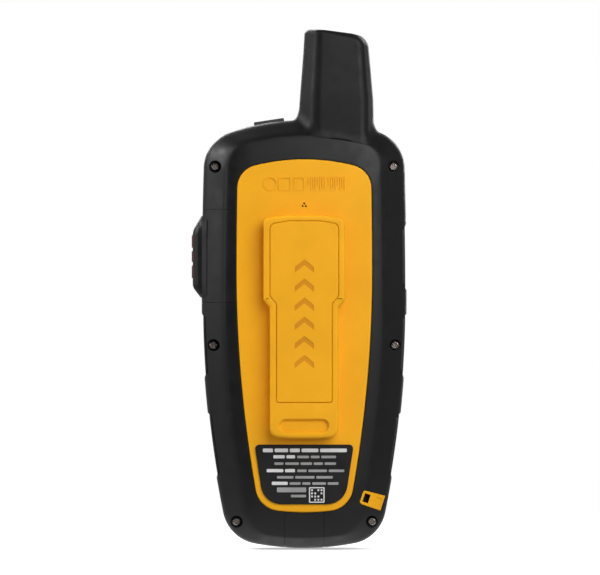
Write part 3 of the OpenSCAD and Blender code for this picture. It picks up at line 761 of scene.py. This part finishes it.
def usb_cap_region(g):
    return usb_box("usb_region", (-4.5, -8 - g, -5.2 - g), (60, USB_HINGE_Y - 0.05 + g, 5.2 + g))


def usb_anchor_region(g):
    line = rounded([(-8.3 - g, -2.2 - g, 0.8), (STRAP_END + g, -2.45 - g, 0.1), (STRAP_END + g, 2.45 + g, 0.1),
                    (-8.3 - g, 2.2 + g, 0.8)], 5)
    rings = [[(u, y, w) for u, w in line] for y in (USB_HINGE_Y + 0.05 - g, 60)]
    return placed("anchor_region", rings, USB_AT, USB_TURN)


def usb_groove():
    """Wedge along the hinge line of the USB cap."""
    wedge = [(-0.1, USB_HINGE_Y), (3, USB_HINGE_Y - 3.2), (3, USB_HINGE_Y + 3.2)]
    return placed("groove", [[(u, y, w) for u, y in wedge] for w in (-5.3, 5.3)], USB_AT, USB_TURN)


def plate_recess():
    return prism("recess", outline(PLATE_EDGE, 0.3), PLATEAU_Y - 0.95, 60)


GRIPS = [((22.2, 43.0), 1), ((22.2, 43.0), -1), ((53.8, 74.3), 1), ((53.8, 74.3), -1), ((81.3, 102.4), -1)]
GRIP_END = 1.7
GRIP_DEPTH = 1.3
PAD_INSET = 0.45
SIDE_EDGE = [p for p in outline(CASE_EDGE, 0, 12) if p[0] > 0]


def grip_depth(z, low, high, depth):
    """Depth of a scallop at height z: full in the middle and eased to nothing at its ends."""
    t = min(z - low, high - z) / GRIP_END
    if t <= 0:
        return 0.0
    t = min(1.0, t)
    return depth * t * t * (3 - 2 * t)


def side_normal(a, b):
    """Outward normal of the +X side of the case between two of its points, the lower one first."""
    size = hypot(b[0] - a[0], b[1] - a[1])
    return (b[1] - a[1]) / size, (a[0] - b[0]) / size


def grip_band(name, side, low, high, outer, inner, y0, y1):
    """Solid between two insets of the case edge, with eased ends."""
    edge = [p for p in SIDE_EDGE if low - 0.01 <= p[1] <= high + 0.01]
    outside, inside = [], []
    for i, (x, z) in enumerate(edge):
        nx, nz = side_normal(edge[max(i - 1, 0)], edge[min(i + 1, len(edge) - 1)])
        d = grip_depth(z, low, high, inner)
        outside.append((x - outer * nx, z - outer * nz))
        inside.append((x - d * nx, z - d * nz))
    line = outside + inside[::-1]
    if side < 0:
        line = [(-x, z) for x, z in reversed(line)]
    return prism(name, line, y0, y1)


def edge_frame(z):
    """X of the case edge at height z on the +X side, with its outward normal in X and Z."""
    k = next(i for i, p in enumerate(SIDE_EDGE) if p[1] > z and i > 0)
    a, b = SIDE_EDGE[k - 1], SIDE_EDGE[k]
    return a[0] + (b[0] - a[0]) * (z - a[1]) / (b[1] - a[1]), side_normal(a, b)


def grip_pad(low, high, side):
    """Rubber pad in a scallop, rounded at its rear edge and eased out at both ends."""
    low, high = low + 0.5, high - 0.5
    corner = 2.4
    stations = [low + (high - low) * k / 40 for k in range(41)]
    for k in range(1, 8):
        step = corner * (k / 8) ** 2
        stations += [low + step, high - step]
    back_y, front_y, soft = 5.2, PARTING_Y + 0.9, 0.45
    rings = []
    for z in sorted(set(stations)):
        x, (nx, nz) = edge_frame(z)
        end = min(z - low, high - z)
        ease = min(1.0, end / 0.9 + 0.25)
        outer = PAD_INSET + (1 - sqrt(1 - (1 - ease) ** 2)) * 0.8
        pull = corner - sqrt(corner ** 2 - max(0.0, corner - end) ** 2) if end < corner else 0.0
        back, front = back_y - pull, front_y + pull
        section = [(GRIP_DEPTH - 0.03, front)]
        section += [(outer + soft * s, front + soft * c) for c, s in quarter(5)]
        section += [(outer + soft * c, back - soft * s) for c, s in quarter(5)]
        section.append((GRIP_DEPTH - 0.03, back))
        rings.append([(AXIS_X + side * (x - inset * nx), y, z - inset * nz) for inset, y in section])
    return loft("grip_pads", rings)


def grip_pads():
    pads = join(*[grip_pad(low, high, side) for (low, high), side in GRIPS])
    finish_piece(pads, "case", GRIP_BLACK, "grip_rubber", "side_grips")


def add_bosses(shell, y0, y1, outer_rings):
    join(shell, *[keep_common(rod_y("boss", p, 3, y0, y1), loft("outer", outer_rings)) for p in SCREWS])


def cut_scallops(shell, depth, y0, y1):
    for (low, high), side in GRIPS:
        cut(shell, grip_band("scallop", side, low, high, -3, depth, y0, y1))


def rear_shell():
    solid = loft("rear_shell", rear_rings(REAR_PROFILE, 0, 4))
    cut(solid, rear_inner("cavity", WALL, 2))
    add_bosses(solid, PARTING_Y, 40, rear_rings(REAR_PROFILE, 0.02, 2))
    for p in SCREWS:
        cut(solid, rod_y("shank_hole", p, 1.15, -60, 60), rod_y("counterbore", p, 1.95, SCREW_SEAT_Y, 60))
    cut(solid, plate_recess())
    cut(solid, rod_y("vent", VENT, 1.5, 0, 60), rod_y("vent_seat", VENT, 3, PLATEAU_Y - 1.5, 60))
    for region in (sos_region(SEAM), bottom_region(SEAM), usb_cap_region(SEAM), usb_anchor_region(SEAM)):
        cut(solid, skin_region(region))
    cut(solid, rod_x("sos_hole", SOS_BUTTON, SOS_BUTTON_R + 0.25, 20, 60))
    cut(solid, usb_box("usb_hole", (-9, -7.3, -4.2), (60, -4, 4.2)), usb_groove())
    cut(solid, button_opening())
    cut_scallops(solid, GRIP_DEPTH, PARTING_Y - 1, 60)
    cut(solid, loft("antenna_room", antenna_rings(0.06)))
    finish_piece(solid, "case", CASE_BLACK, "case_black", "rear_housing")


BUTTON_TURN = radians(8.5)
BUTTON_Y = -0.5


def button_opening():
    half_w, y0, y1 = 5.1, BUTTON_Y - 3.3, BUTTON_Y + 3.3
    rings = [[(-half_w, y0, w), (half_w, y0, w), (half_w, y1, w), (-half_w, y1, w)]
             for w in (TOP_ARCH_R - 10, TOP_ARCH_R + 20)]
    return placed("button_opening", rings, (0, TOP_Z - TOP_ARCH_R), BUTTON_TURN)


def let_in(name, region, *tools):
    """Piece of the outer skin that fills a region."""
    solid = loft(name, rear_rings(REAR_PROFILE, 0, 4))
    keep_common(solid, region)
    return cut(solid, rear_inner("inner", SKIN, 2), *tools)


def bottom_block():
    block = let_in("bottom_block", bottom_region(-0.02), plate_recess())
    finish_piece(block, "case", CASE_BLACK, "case_black", "bottom_insert")


def usb_strap():
    """Strap of the USB cap with its slot and a shallow field, and the cap itself with its plug."""
    slot = usb_box("slot", (-7.55, 0, -1.4), (-5.7, 60, 1.4))
    field = cut(usb_box("field", (-3.5, 0, -1.3), (-1.75, 60, 1.3)), rear_inner("floor", 0.12, 2))
    strap = let_in("usb_strap", usb_anchor_region(-0.02), slot, field)
    finish_piece(strap, "case", CAP_YELLOW, "cap_yellow", "usb_cap_anchor")
    cap = let_in("usb_cap_skin", usb_cap_region(-0.02), usb_groove())
    join(cap, usb_box("plug", (-3.6, -6.6, -3.2), (-1, -4.4, 3.2)))
    finish_piece(cap, "usb_cap", CAP_YELLOW, "cap_yellow", "usb_cap")


# ---- SOS bezel and cover

def sos_rod(name, r, z0, z1):
    return loft(name, [[(x + AXIS_X, y, z) for x, y in disc(r, SOS_HINGE)] for z in (z0, z1)])


def sos_bezel():
    bezel = let_in("sos_bezel_skin", sos_region(-0.02), rod_x("hole", SOS_BUTTON, SOS_BUTTON_R + 0.25, 20, 60),
                   prism("plate_side", outline(PLATE_EDGE, -0.6), 0, 60))
    for z0, z1 in KNUCKLES_Z:
        web = box("web", (31.4, SOS_HINGE[1] - 0.35, z0), (SOS_HINGE[0], SOS_HINGE[1] + KNUCKLE_R, z1))
        join(bezel, sos_rod("knuckle", KNUCKLE_R, z0, z1), web)
    cut(bezel, sos_rod("pin_hole", 0.52, 83.3, 100.7))
    finish_piece(bezel, "case", CASE_BLACK, "case_black", "sos_bezel")


# Outside of the SOS cover along its hinge, [x, y, radius]
COVER_PROFILE = ((33.7, -8.3, 0.15), (34.7, -8.3, 0.9), (35.25, -6.2, 1.5), (35.25, 3.7, 2.2), (33.5, 5, 1.5),
                 (32.3, 5.45, 0.9), (30.72, 6.9, 0.25), (30.6, 6.78, 0.03))
COVER_Z = (79.1, 82.4, 100.3, 105)
COVER_HEEL_X = 32.8


def cover_share(z):
    """How far the cover stands out at height z: sloping ends that are rounded where they meet the flat."""
    low, flat_low, flat_high, high = COVER_Z
    t = min((z - low) / (flat_low - low), (high - z) / (flat_high - high) * -1)
    soft = 0.32
    if t >= 1 + soft:
        return 1.0
    if t > 1 - soft:
        u = (1 + soft - t) / (2 * soft)
        return 1 - soft * u * u
    return max(0.0, t)


def nearest(line, corner):
    return min(range(len(line)), key=lambda i: hypot(line[i][0] - corner[0], line[i][1] - corner[1]))


def sos_cover():
    """Cover that grows out of the case side, wraps on to the back and is hollow over the button."""
    line = refined(rounded(list(COVER_PROFILE), 6), 0.8)
    first = nearest(line, COVER_PROFILE[0])
    line = line[first:] + line[:first]
    line = line[:nearest(line, COVER_PROFILE[-1]) + 1]
    bend = next(i for i, p in enumerate(line) if p[1] > 2)
    low, high = COVER_Z[0], COVER_Z[3]
    count = 90
    rings = []
    for k in range(count + 1):
        z = low + (high - low) * k / count
        share = 0.06 + 0.94 * cover_share(z)
        outer, inner = [], []
        for i, (x, y) in enumerate(line):
            start = Vector((x + AXIS_X, y, z))
            turn = radians(180 + 70 * sqrt(max(0.0, (i - bend) / (len(line) - 1 - bend))))
            aim = Vector((cos(turn), sin(turn), 0))
            base = CASE_TREE.ray_cast(start, aim)[0] or start + aim
            out = (start - base).normalized()
            inner.append(tuple(base + out * 0.03))
            outer.append(tuple(base + (start - base) * share + out * 0.12 * (1 - share)))
        rings.append(outer + inner[::-1])
    cover = loft("sos_cover_shell", rings)
    ends = rounded([(30.55, low, 2.2), (38, low, 0.1), (38, high, 0.1), (30.55, high, 2.2)])
    keep_common(cover, prism("ends", ends, -60, 60))
    barrel = sos_rod("barrel", KNUCKLE_R, 80.9, 103)
    trim = prism("trim", [(30, 78), (32.4, 79.1), (35.4, 82.3), (35.4, 100.4), (32.4, 105), (30, 106)], -60, 60)
    join(cover, keep_common(barrel, trim))
    pocket = prism("pocket", [(20, 80.4), (33.9, 82.9), (33.9, 100.2), (20, 103.4)], -6.35, 3.6)
    heel = box("heel", (0, -60, 60), (COVER_HEEL_X, -6.35, 120))
    notches = [box("notch", (0, -60, z0 - 0.1), (60, -5.95, z1 + 0.1)) for z0, z1 in KNUCKLES_Z]
    cut(cover, pocket, heel, *notches)
    cut(cover, sos_rod("bore", 0.56, 83, 101))
    finish_piece(cover, "sos_cover", CASE_BLACK, "case_black", "sos_cover", angle=35)


def sos_ridges():
    """Three raised bars on the flat of the cover."""
    profile = ((35.15, 0), (35.45, 0), (35.53, 0.05), (35.57, 0.15))
    bars = []
    for z0, z1 in ((94.9, 98.9), (90.4, 93.9), (85.3, 89.3)):
        line = round_rect(-4.6, 1.6, z0, z1, 0.7)
        bars.append(across_x("sos_ridges", [(x, offset_polygon(line, inset)) for x, inset in profile]))
    finish_piece(join(*bars), "sos_cover", RED, "red_plastic", "sos_cover_ridges")


def sos_button():
    """Red button with a dished face, its skirt and its stem flange."""
    profile = ((28.4, 5.2), (29.3, 5.2), (29.31, 4.6), (32.55, 4.6), (32.75, 4.5), (32.88, 4.28), (32.9, 4.0),
               (32.8, 3.2), (32.7, 2.0), (32.66, 0.6))
    cap = across_x("sos_button_cap", [(x, disc(r, SOS_BUTTON, 72)) for x, r in profile])
    finish_piece(cap, "sos_button", RED, "red_plastic", "sos_button")


# ---- screws

def star(r, depth_r, at):
    """Six-lobed outline for the screw recess."""
    return [polar(at, r + depth_r * cos(6 * 2 * pi * i / 72), 2 * pi * i / 72) for i in range(72)]


def screws():
    parts = []
    for at in SCREWS:
        profile = ((-14.1, 0.7), (-13.8, 0.96), (SCREW_SEAT_Y, 0.96), (SCREW_SEAT_Y + 0.01, 1.42),
                   (SCREW_SEAT_Y + 0.65, 1.42), (SCREW_SEAT_Y + 0.95, 1.3), (SCREW_SEAT_Y + 1.15, 1.08),
                   (SCREW_SEAT_Y + 1.2, 0.9))
        star_room = prism("star", star(0.84, 0.18, at), SCREW_SEAT_Y + 0.2, 60)
        parts.append(cut(turned("screws", at, profile), star_room))
    finish_piece(join(*parts), "case", SCREW_STEEL, "dark_steel", "case_screws")


# ---- yellow back plate, spine and label

def medial(p, low, high):
    return (p[0] * 0.02, min(max(p[1], low), high))


def back_plate():
    edge = outline(PLATE_EDGE, 0.4)
    rim_y = PLATE_Y - 0.45
    rim = 0.55
    rings = [at_depth(edge, PLATE_LO.y), at_depth(edge, rim_y - rim)]
    rings += [at_depth(offset_polygon(edge, rim * c), rim_y - rim * s) for c, s in quarter(5)[1:]]
    inner = offset_polygon(edge, rim)
    centre = [medial(p, 34, 101) for p in inner]
    for k in range(1, 25):
        s = k / 25
        rings.append(at_depth(mix(inner, centre, s), rim_y + (PLATE_Y - rim_y) * (1 - (1 - s) ** 2)))
    solid = loft("plate_skin", rings)
    for dx, dz in ((-0.5, -0.75), (0.5, -0.75), (0, 0.05)):
        cut(solid, rod_y("vent_hole", (VENT[0] + dx, VENT[1] + dz), 0.3, 0, 60, 20))
    finish_piece(solid, "case", CASE_YELLOW, "case_yellow", "back_plate", angle=28)


SPINE_NECK, SPINE_HEAD = 10.8, 12.8


def spine_line(neck, head, bottom, shoulder, top, r_bottom, r_top, sag=0.0):
    """Outline of the spine or its inlay, with its foot bowed down by sag."""
    half = [(neck * 0.45, bottom, 12)] if sag else []
    half += [(neck, bottom + sag, r_bottom), (neck, shoulder, 0.6), (head, shoulder + 2.4, 0.6),
             (head, top - 1, r_top), (head * 0.45, top, 12)]
    return refined(rounded(both_sides(half)), 3)


def inlay_line(grow):
    return spine_line(8.7 + grow, 10.75 + grow, 46.2 - grow, 77.2, 103.2 + grow, 0.9, 1.8)


def mounting_spine():
    line = spine_line(SPINE_NECK, SPINE_HEAD, 34.9, 76, 105.1, 3, 2, sag=0.5)
    head = soft_slab("spine_skin", line, SPINE_Y - 2.9, SPINE_Y, 1, 7, 0.3)
    half_core = SPINE_NECK - 0.02
    core = prism("core", round_rect(-half_core, half_core, 35.5, 104, 3.2), PLATE_Y - 0.3, SPINE_Y - 2)
    join(head, core)
    cut(head, stacked("inlay_room", inlay_line(0.1), (
        (0, SPINE_Y - 0.6), (0, SPINE_Y - 0.3), (-0.08, SPINE_Y - 0.1), (-0.3, SPINE_Y + 0.02), (-0.3, 60))))
    cut(head, stacked("latch_pocket", round_rect(-7.65, 7.65, 36.8, 40.8, 1.9), (
        (0.35, SPINE_Y - 1.15), (0, SPINE_Y - 0.8), (0, SPINE_Y - 0.35), (-0.35, SPINE_Y), (-0.35, 60))))
    finish_piece(head, "case", CASE_YELLOW, "case_yellow", "mounting_spine", angle=35)
    inlay = soft_slab("inlay_skin", inlay_line(0), SPINE_Y - 0.58, SPINE_Y, 0.32, 4)
    for k in range(6):
        cut(inlay, prism("chevron", chevron(k, 0), SPINE_Y - 0.25, 60))
    finish_piece(inlay, "case", CASE_YELLOW, "case_yellow", "spine_inlay", angle=35)
    # Darker yellow sheets on the chevron groove floors: painted shade in the recesses.
    marks = join(*[prism("chevron_groove_shade", chevron(k, 0.03), SPINE_Y - 0.3, SPINE_Y - 0.16) for k in range(6)])
    finish_piece(marks, "case", GROOVE_SHADE_YELLOW, "case_yellow")


def chevron(k, grow):
    z = 57 + 6 * k
    half, rise, thick = 3 + grow, 2.4, 1.7
    return [(half, z - grow), (half, z + thick + grow), (0, z + thick + rise + grow), (-half, z + thick + grow),
            (-half, z - grow), (0, z + rise - grow)]


def label():
    line = refined(rounded(both_sides([(12.75, 14.1, 6.5), (15.6, 32.9, 1.3)])), 3)
    film = soft_slab("label_film", line, PLATE_Y - 0.5, LABEL_Y, 0.08, 2)
    finish_piece(film, "case", LABEL_BLACK, "label_black", "rating_label")


PRINT_Y = (LABEL_Y - 0.02, LABEL_Y + 0.02)
# Rows of print on the label: height of the bars, then z, x0, x1 and the words' lengths from x1 down
HEADING = (1.15, ((30.5, -13.4, 13.0, (3, 4, 3, 5, 8)),))
STRONG = (1.0, ((28.55, 2.9, 9.7, (4, 3)), (24.2, 2.9, 11.8, (5, 3)), (20.2, 5.2, 10.2, (1,))))
FINE = (0.8, ((28.6, -10, 2.2, (4, 3, 5)), (26.5, -10, 9.4, (4, 6, 5, 4, 5)), (24.25, -12.6, 2.2, (3, 6, 5)),
              (22.2, -9, 8.6, (6, 7, 6)), (20.25, -10.8, 4.6, (4, 3, 5, 4)), (16.3, -0.6, 4.2, (3,))))


def printed(x0, x1, z0, z1, r, n=3):
    return prism("bar", round_rect(x0, x1, z0, z1, r, n), *PRINT_Y)


def word_bars(height, rows):
    """Rows of bars in the proportions of words with equal gaps."""
    gap = 0.55
    bars = []
    for z, x0, x1, words in rows:
        unit = (x1 - x0 - gap * (len(words) - 1)) / sum(words)
        x = x1
        for length in words:
            bars.append(printed(x - length * unit, x, z, z + height, 0.25))
            x -= length * unit + gap
    return bars


def finish_print(name, parts, material, *replaced):
    whole = join(*parts)
    whole.name = name
    finish_piece(whole, "case", material, "label_grey", *replaced)


def label_print():
    """Plain bars in place of the label's text, a plain tile and a plain dotted square."""
    inside = prism("inside", round_rect(-6.05, -1.85, 14.95, 19.15, 0.15, 3), PRINT_Y[0] - 1, PRINT_Y[1] + 1)
    square = cut(printed(-6.4, -1.5, 14.6, 19.5, 0.3), inside)
    dots = [(-5.45 + i, 15.55 + k) for i in range(4) for k in range(4) if (i * 3 + k * 5) % 4 != 1]
    dots = [printed(x - 0.28, x + 0.28, z - 0.28, z + 0.28, 0.1, 2) for x, z in dots]
    strong = word_bars(*HEADING) + word_bars(*STRONG) + [square] + dots
    finish_print("label_print", strong, LABEL_WHITE, "label_bars")
    finish_print("label_print_fine", word_bars(*FINE) + [printed(-0.6, 8.6, 17.9, 19.4, 0.2)], LABEL_GREY)


MARKS_Y = (PLATE_Y - 0.6, PLATE_Y - 0.02)
MARKS_Z = 114.9
MARKS_HALF_H = 2.2


def ring_mark(x, half_w, r):
    """Raised outline of a rounded rectangle on the back plate."""
    low, high, line = MARKS_Z - MARKS_HALF_H, MARKS_Z + MARKS_HALF_H, 0.35
    outer, inner = [round_rect(x - half_w + d, x + half_w - d, low + d, high - d, max(0.2, r - d))
                    for d in (0, line)]
    return cut(prism("plate_marks", outer, *MARKS_Y), prism("inner", inner, MARKS_Y[0] - 1, MARKS_Y[1] + 1))


def plate_marks():
    """Row of plain outlines and bars, tone on tone, above the vent."""
    marks = [ring_mark(10.8, 2.2, 2.15), ring_mark(6.2, 2.0, 0.6), ring_mark(1.6, 1.6, 0.3)]
    top = MARKS_Z + MARKS_HALF_H
    for group in (-6.6, -12.9):
        for k in range(8):
            x, height = group + 0.72 * k, (4.2, 3.4, 4.2, 2.6)[k % 4]
            marks.append(prism("bar", round_rect(x, x + 0.34, top - height, top, 0.12, 3), *MARKS_Y))
    finish_piece(join(*marks), "case", CASE_YELLOW, "case_yellow")


# ---- front housing and keys

def front_inner(name, t):
    rings = front_rings(FRONT_INSIDE, t, 2)
    rings[-1] = [(x, y + 1, z) for x, y, z in rings[-1]]
    return loft(name, rings)


def front_shell():
    solid = loft("front_shell", front_rings(FRONT_PROFILE, 0, 4))
    cut(solid, front_inner("cavity", WALL))
    add_bosses(solid, FRONT_Y + 1.5, PARTING_Y, front_rings(FRONT_PROFILE, 0.02, 2))
    for p in SCREWS:
        cut(solid, rod_y("insert_room", p, 1.45, -14.5, 60))
    lens_low, lens_high = LENS_Z
    lens_line = round_rect(-LENS_HALF_W - 0.1, LENS_HALF_W + 0.1, lens_low - 0.1, lens_high + 0.1, 3)
    cut(solid, stacked("lens_room", lens_line, ((-0.6, -60), (-0.6, FRONT_Y - 0.1), (0, FRONT_Y + 0.5),
                                                (0, FRONT_Y + 1.35))))
    cut(solid, prism("window", round_rect(-18.2, 18.2, 60.2, 111.8, 1.5), -60, -10))
    for at, r in (((0, KEY_Z), DPAD_R + 0.5), ((-KEY_X, KEY_Z), KEY_R + 0.25), ((KEY_X, KEY_Z), KEY_R + 0.25)):
        funnel = ((-60, r + 0.9), (FRONT_Y - 0.15, r + 0.9), (FRONT_Y + 0.15, r + 0.35),
                  (FRONT_Y + 0.7, r), (-10, r))
        cut(solid, turned("key_hole", at, funnel, 96))
    cut(solid, rod_y("light_hole", (0, 119), 1.2, -60, -10))
    cut_scallops(solid, 0.5, FRONT_Y + 3.4, 0)
    cut(solid, loft("antenna_room", antenna_rings(0.06)))
    finish_piece(solid, "case", CASE_BLACK, "case_black", "front_housing")


def lens():
    line = refined(round_rect(-LENS_HALF_W, LENS_HALF_W, *LENS_Z, 2.9), 4)
    pane = soft_slab("lens_pane", line, FRONT_Y + 0.02, FRONT_Y + 1.2, 0.05, 2, 0.35)
    finish_piece(pane, "case", LENS, "lens", "display_lens")


def key_profile(r, dish, rim):
    """(y, radius) out across a key's face, dished by dish, and round its rim."""
    low_y = FRONT_Y - 0.6
    face = [(low_y + dish * (1 - s * s), (r - rim) * s) for s in (k / 12 for k in range(1, 13))]
    return face + [(low_y + rim * c, r - rim * s) for c, s in quarter(6)[1:]]


def dpad():
    flange = [(-14.6, DPAD_R), (-14.6, DPAD_R + 1.3), (-13.9, DPAD_R + 1.3)]
    key = turned("dpad_cap", (0, KEY_Z), key_profile(DPAD_R, 0.9, 0.6) + flange, 96)
    arrows = []
    for k in range(4):
        c, s = cos(pi / 2 * k), sin(pi / 2 * k)
        line = [(u * c - w * s, KEY_Z + u * s + w * c) for u, w in ((7, -1.5), (8.9, 0), (7, 1.5))]
        cut(key, prism("arrow", line, -60, FRONT_Y + 0.1))
        arrows.append(prism("dpad_arrows", line, FRONT_Y, FRONT_Y + 0.15))
    finish_piece(key, "dpad_key", KEY_BLACK, "key_black", "dpad_key")
    finish_piece(join(*arrows), "dpad_key", LABEL_GREY, "label_grey")


def bar_line(a, b, half):
    """Bar between two points, as a four-cornered line."""
    dx, dz = b[0] - a[0], b[1] - a[1]
    size = hypot(dx, dz)
    nx, nz = -dz / size * half, dx / size * half
    return [(a[0] - nx, a[1] - nz), (b[0] - nx, b[1] - nz), (b[0] + nx, b[1] + nz), (a[0] + nx, a[1] + nz)]


def round_key(node, x, strokes):
    flange = [(-15.5, KEY_R), (-15.5, KEY_R + 0.8), (-14.9, KEY_R + 0.8), (-14.9, 1.5), (-10.3, 1.5)]
    key = turned(node + "_cap", (x, KEY_Z), key_profile(KEY_R, 0, 0.5) + flange, 96)
    lines = [bar_line((x + a[0], KEY_Z + a[1]), (x + b[0], KEY_Z + b[1]), 0.28) for a, b in strokes]
    marks = []
    for line in lines:
        cut(key, prism("groove", offset_polygon(line, -0.02), -60, FRONT_Y - 0.45))
        marks.append(prism(node + "_sign", line, FRONT_Y - 0.5, FRONT_Y - 0.42))
    finish_piece(key, node, KEY_BLACK, "key_black", node)
    finish_piece(join(*marks), node, LABEL_GREY, "label_grey")


# ---- the whole object

def build():
    for make in (antenna, rear_shell, grip_pads, bottom_block, usb_strap, sos_bezel, sos_cover, sos_ridges,
                 sos_button, screws, back_plate, mounting_spine, label, label_print, plate_marks, front_shell,
                 lens, dpad):
        make()
    round_key("cancel_key", -KEY_X, [((-1.5, -1.5), (1.5, 1.5)), ((-1.5, 1.5), (1.5, -1.5))])
    round_key("confirm_key", KEY_X, [((-1.7, 0), (-0.4, -1.4)), ((-0.4, -1.4), (1.8, 1.5))])


def finish_cad_nodes():
    for name, material in NODE_MATERIALS.items():
        obj = NODES[name]
        paint(obj, material)
        bevel = obj.modifiers.new("soft_edges", "BEVEL")
        bevel.width = 0.12 * MM
        bevel.segments = 2
        bevel.limit_method = "ANGLE"
        bevel.angle_limit = radians(40)


# ---- studio

def soft_light(name, place, size, watts):
    data = bpy.data.lights.new(name, "AREA")
    data.shape = "RECTANGLE"
    data.size, data.size_y = size
    data.energy = watts
    lamp = bpy.data.objects.new(name, data)
    bpy.context.scene.collection.objects.link(lamp)
    lamp.location = place
    aim = Vector((0, 0, 0.08)) - Vector(place)
    lamp.rotation_mode = "QUATERNION"
    lamp.rotation_quaternion = aim.to_track_quat("-Z", "Y")


def pale_floor():
    """Plain pale floor: takes soft shadows near the object and is evenly white further out."""
    n = Surface("pale_floor")
    path = n.add("ShaderNodeLightPath")
    seen, glossy = path.outputs["Is Camera Ray"], path.outputs["Is Glossy Ray"]
    reach = n.add("ShaderNodeVectorMath", operation="LENGTH")
    n.link(n.place, reach.inputs[0])
    reach = reach.outputs["Value"]
    n.feed("Base Color", n.blend_colours(seen, (0.25, 0.25, 0.25), (0.9, 0.9, 0.9)))
    n.feed("Roughness", 0.8)
    n.feed("Specular IOR Level", 0.0)
    n.feed("Emission Color", (1.0, 1.0, 1.0))
    under = n.calc("MULTIPLY", n.spread(reach, 0.8, 0, 0.02, 0.09), glossy)
    n.feed("Emission Strength", n.calc("ADD", n.spread(seen, 0.2, 0.42, 0, 1), under))
    ahead = n.calc("MULTIPLY", n.spread(n.axes(n.place)["Y"], 0.1, 0.8, 0.1, -0.25), glossy)
    white = n.add("ShaderNodeEmission")
    n.link(n.calc("MAXIMUM", n.spread(seen, 0.2, 1, 0, 1), ahead), white.inputs["Strength"])
    share = n.spread(reach, 0, 1, 0.12, 0.42)
    both = n.mix_shaders(share, n.shader.outputs["BSDF"], white.outputs["Emission"])
    n.link(both, n.tree.nodes["Material Output"].inputs["Surface"])
    return n.owner


def surroundings():
    """Dim all round, brighter in front of the object, and white to the camera."""
    n = Nodes(bpy.data.worlds.new("studio"))
    bpy.context.scene.world = n.owner
    n.tree.nodes.clear()
    where = n.axes(n.add("ShaderNodeTexCoord").outputs["Generated"])
    lit, white = n.add("ShaderNodeBackground"), n.add("ShaderNodeBackground")
    for background in (lit, white):
        background.inputs["Color"].default_value = (1, 1, 1, 1)
    n.link(n.spread(where["Y"], 0.09, 0.55, 0.1, -0.8), lit.inputs["Strength"])
    seen = n.add("ShaderNodeLightPath").outputs["Is Camera Ray"]
    air = n.mix_shaders(seen, lit.outputs[0], white.outputs[0])
    n.link(air, n.add("ShaderNodeOutputWorld").inputs["Surface"])


def floor():
    mesh = bpy.data.meshes.new("floor")
    bm = bmesh.new()
    bmesh.ops.create_grid(bm, x_segments=4, y_segments=4, size=20)
    bm.to_mesh(mesh)
    bm.free()
    sheet = make_object("floor", mesh)
    sheet.location = (0, 0, CAD_BOX[0].z - 0.0004)
    sheet.data.materials.append(pale_floor())


def studio():
    soft_light("key", (-0.21, 0.4, 0.29), (0.4, 0.4), 2.65)
    soft_light("rim_left", (0.72, 0.1, 0.37), (0.25, 0.55), 2.5)
    soft_light("edge_left", (0.6, 0.02, 0.46), (0.12, 0.12), 1.6)
    soft_light("rim_right", (-0.8, 0.1, 0.15), (0.2, 0.7), 0.25)
    soft_light("front_key", (0.35, -0.85, 0.55), (0.5, 0.5), 8)
    soft_light("front_fill", (-0.5, -0.8, 0.35), (0.3, 0.6), 3.5)
    surroundings()
    floor()
    scene = bpy.context.scene
    scene.view_settings.view_transform = "Standard"
    scene.view_settings.look = "None"


def camera():
    """Straight on to the back, as the reference view is."""
    data = bpy.data.cameras.new("camera")
    data.lens = 480
    data.sensor_width = 36
    data.clip_end = 50
    cam = bpy.data.objects.new("camera", data)
    bpy.context.scene.collection.objects.link(cam)
    low, high = CAD_BOX
    frame_width = 0.1895
    distance = frame_width * data.lens / data.sensor_width
    cam.location = (-0.00025, distance + 0.004, low.z + 0.5024 * (high.z - low.z))
    cam.rotation_euler = (radians(90), 0, radians(180))
    bpy.context.scene.camera = cam


build()
finish_cad_nodes()
studio()
camera()
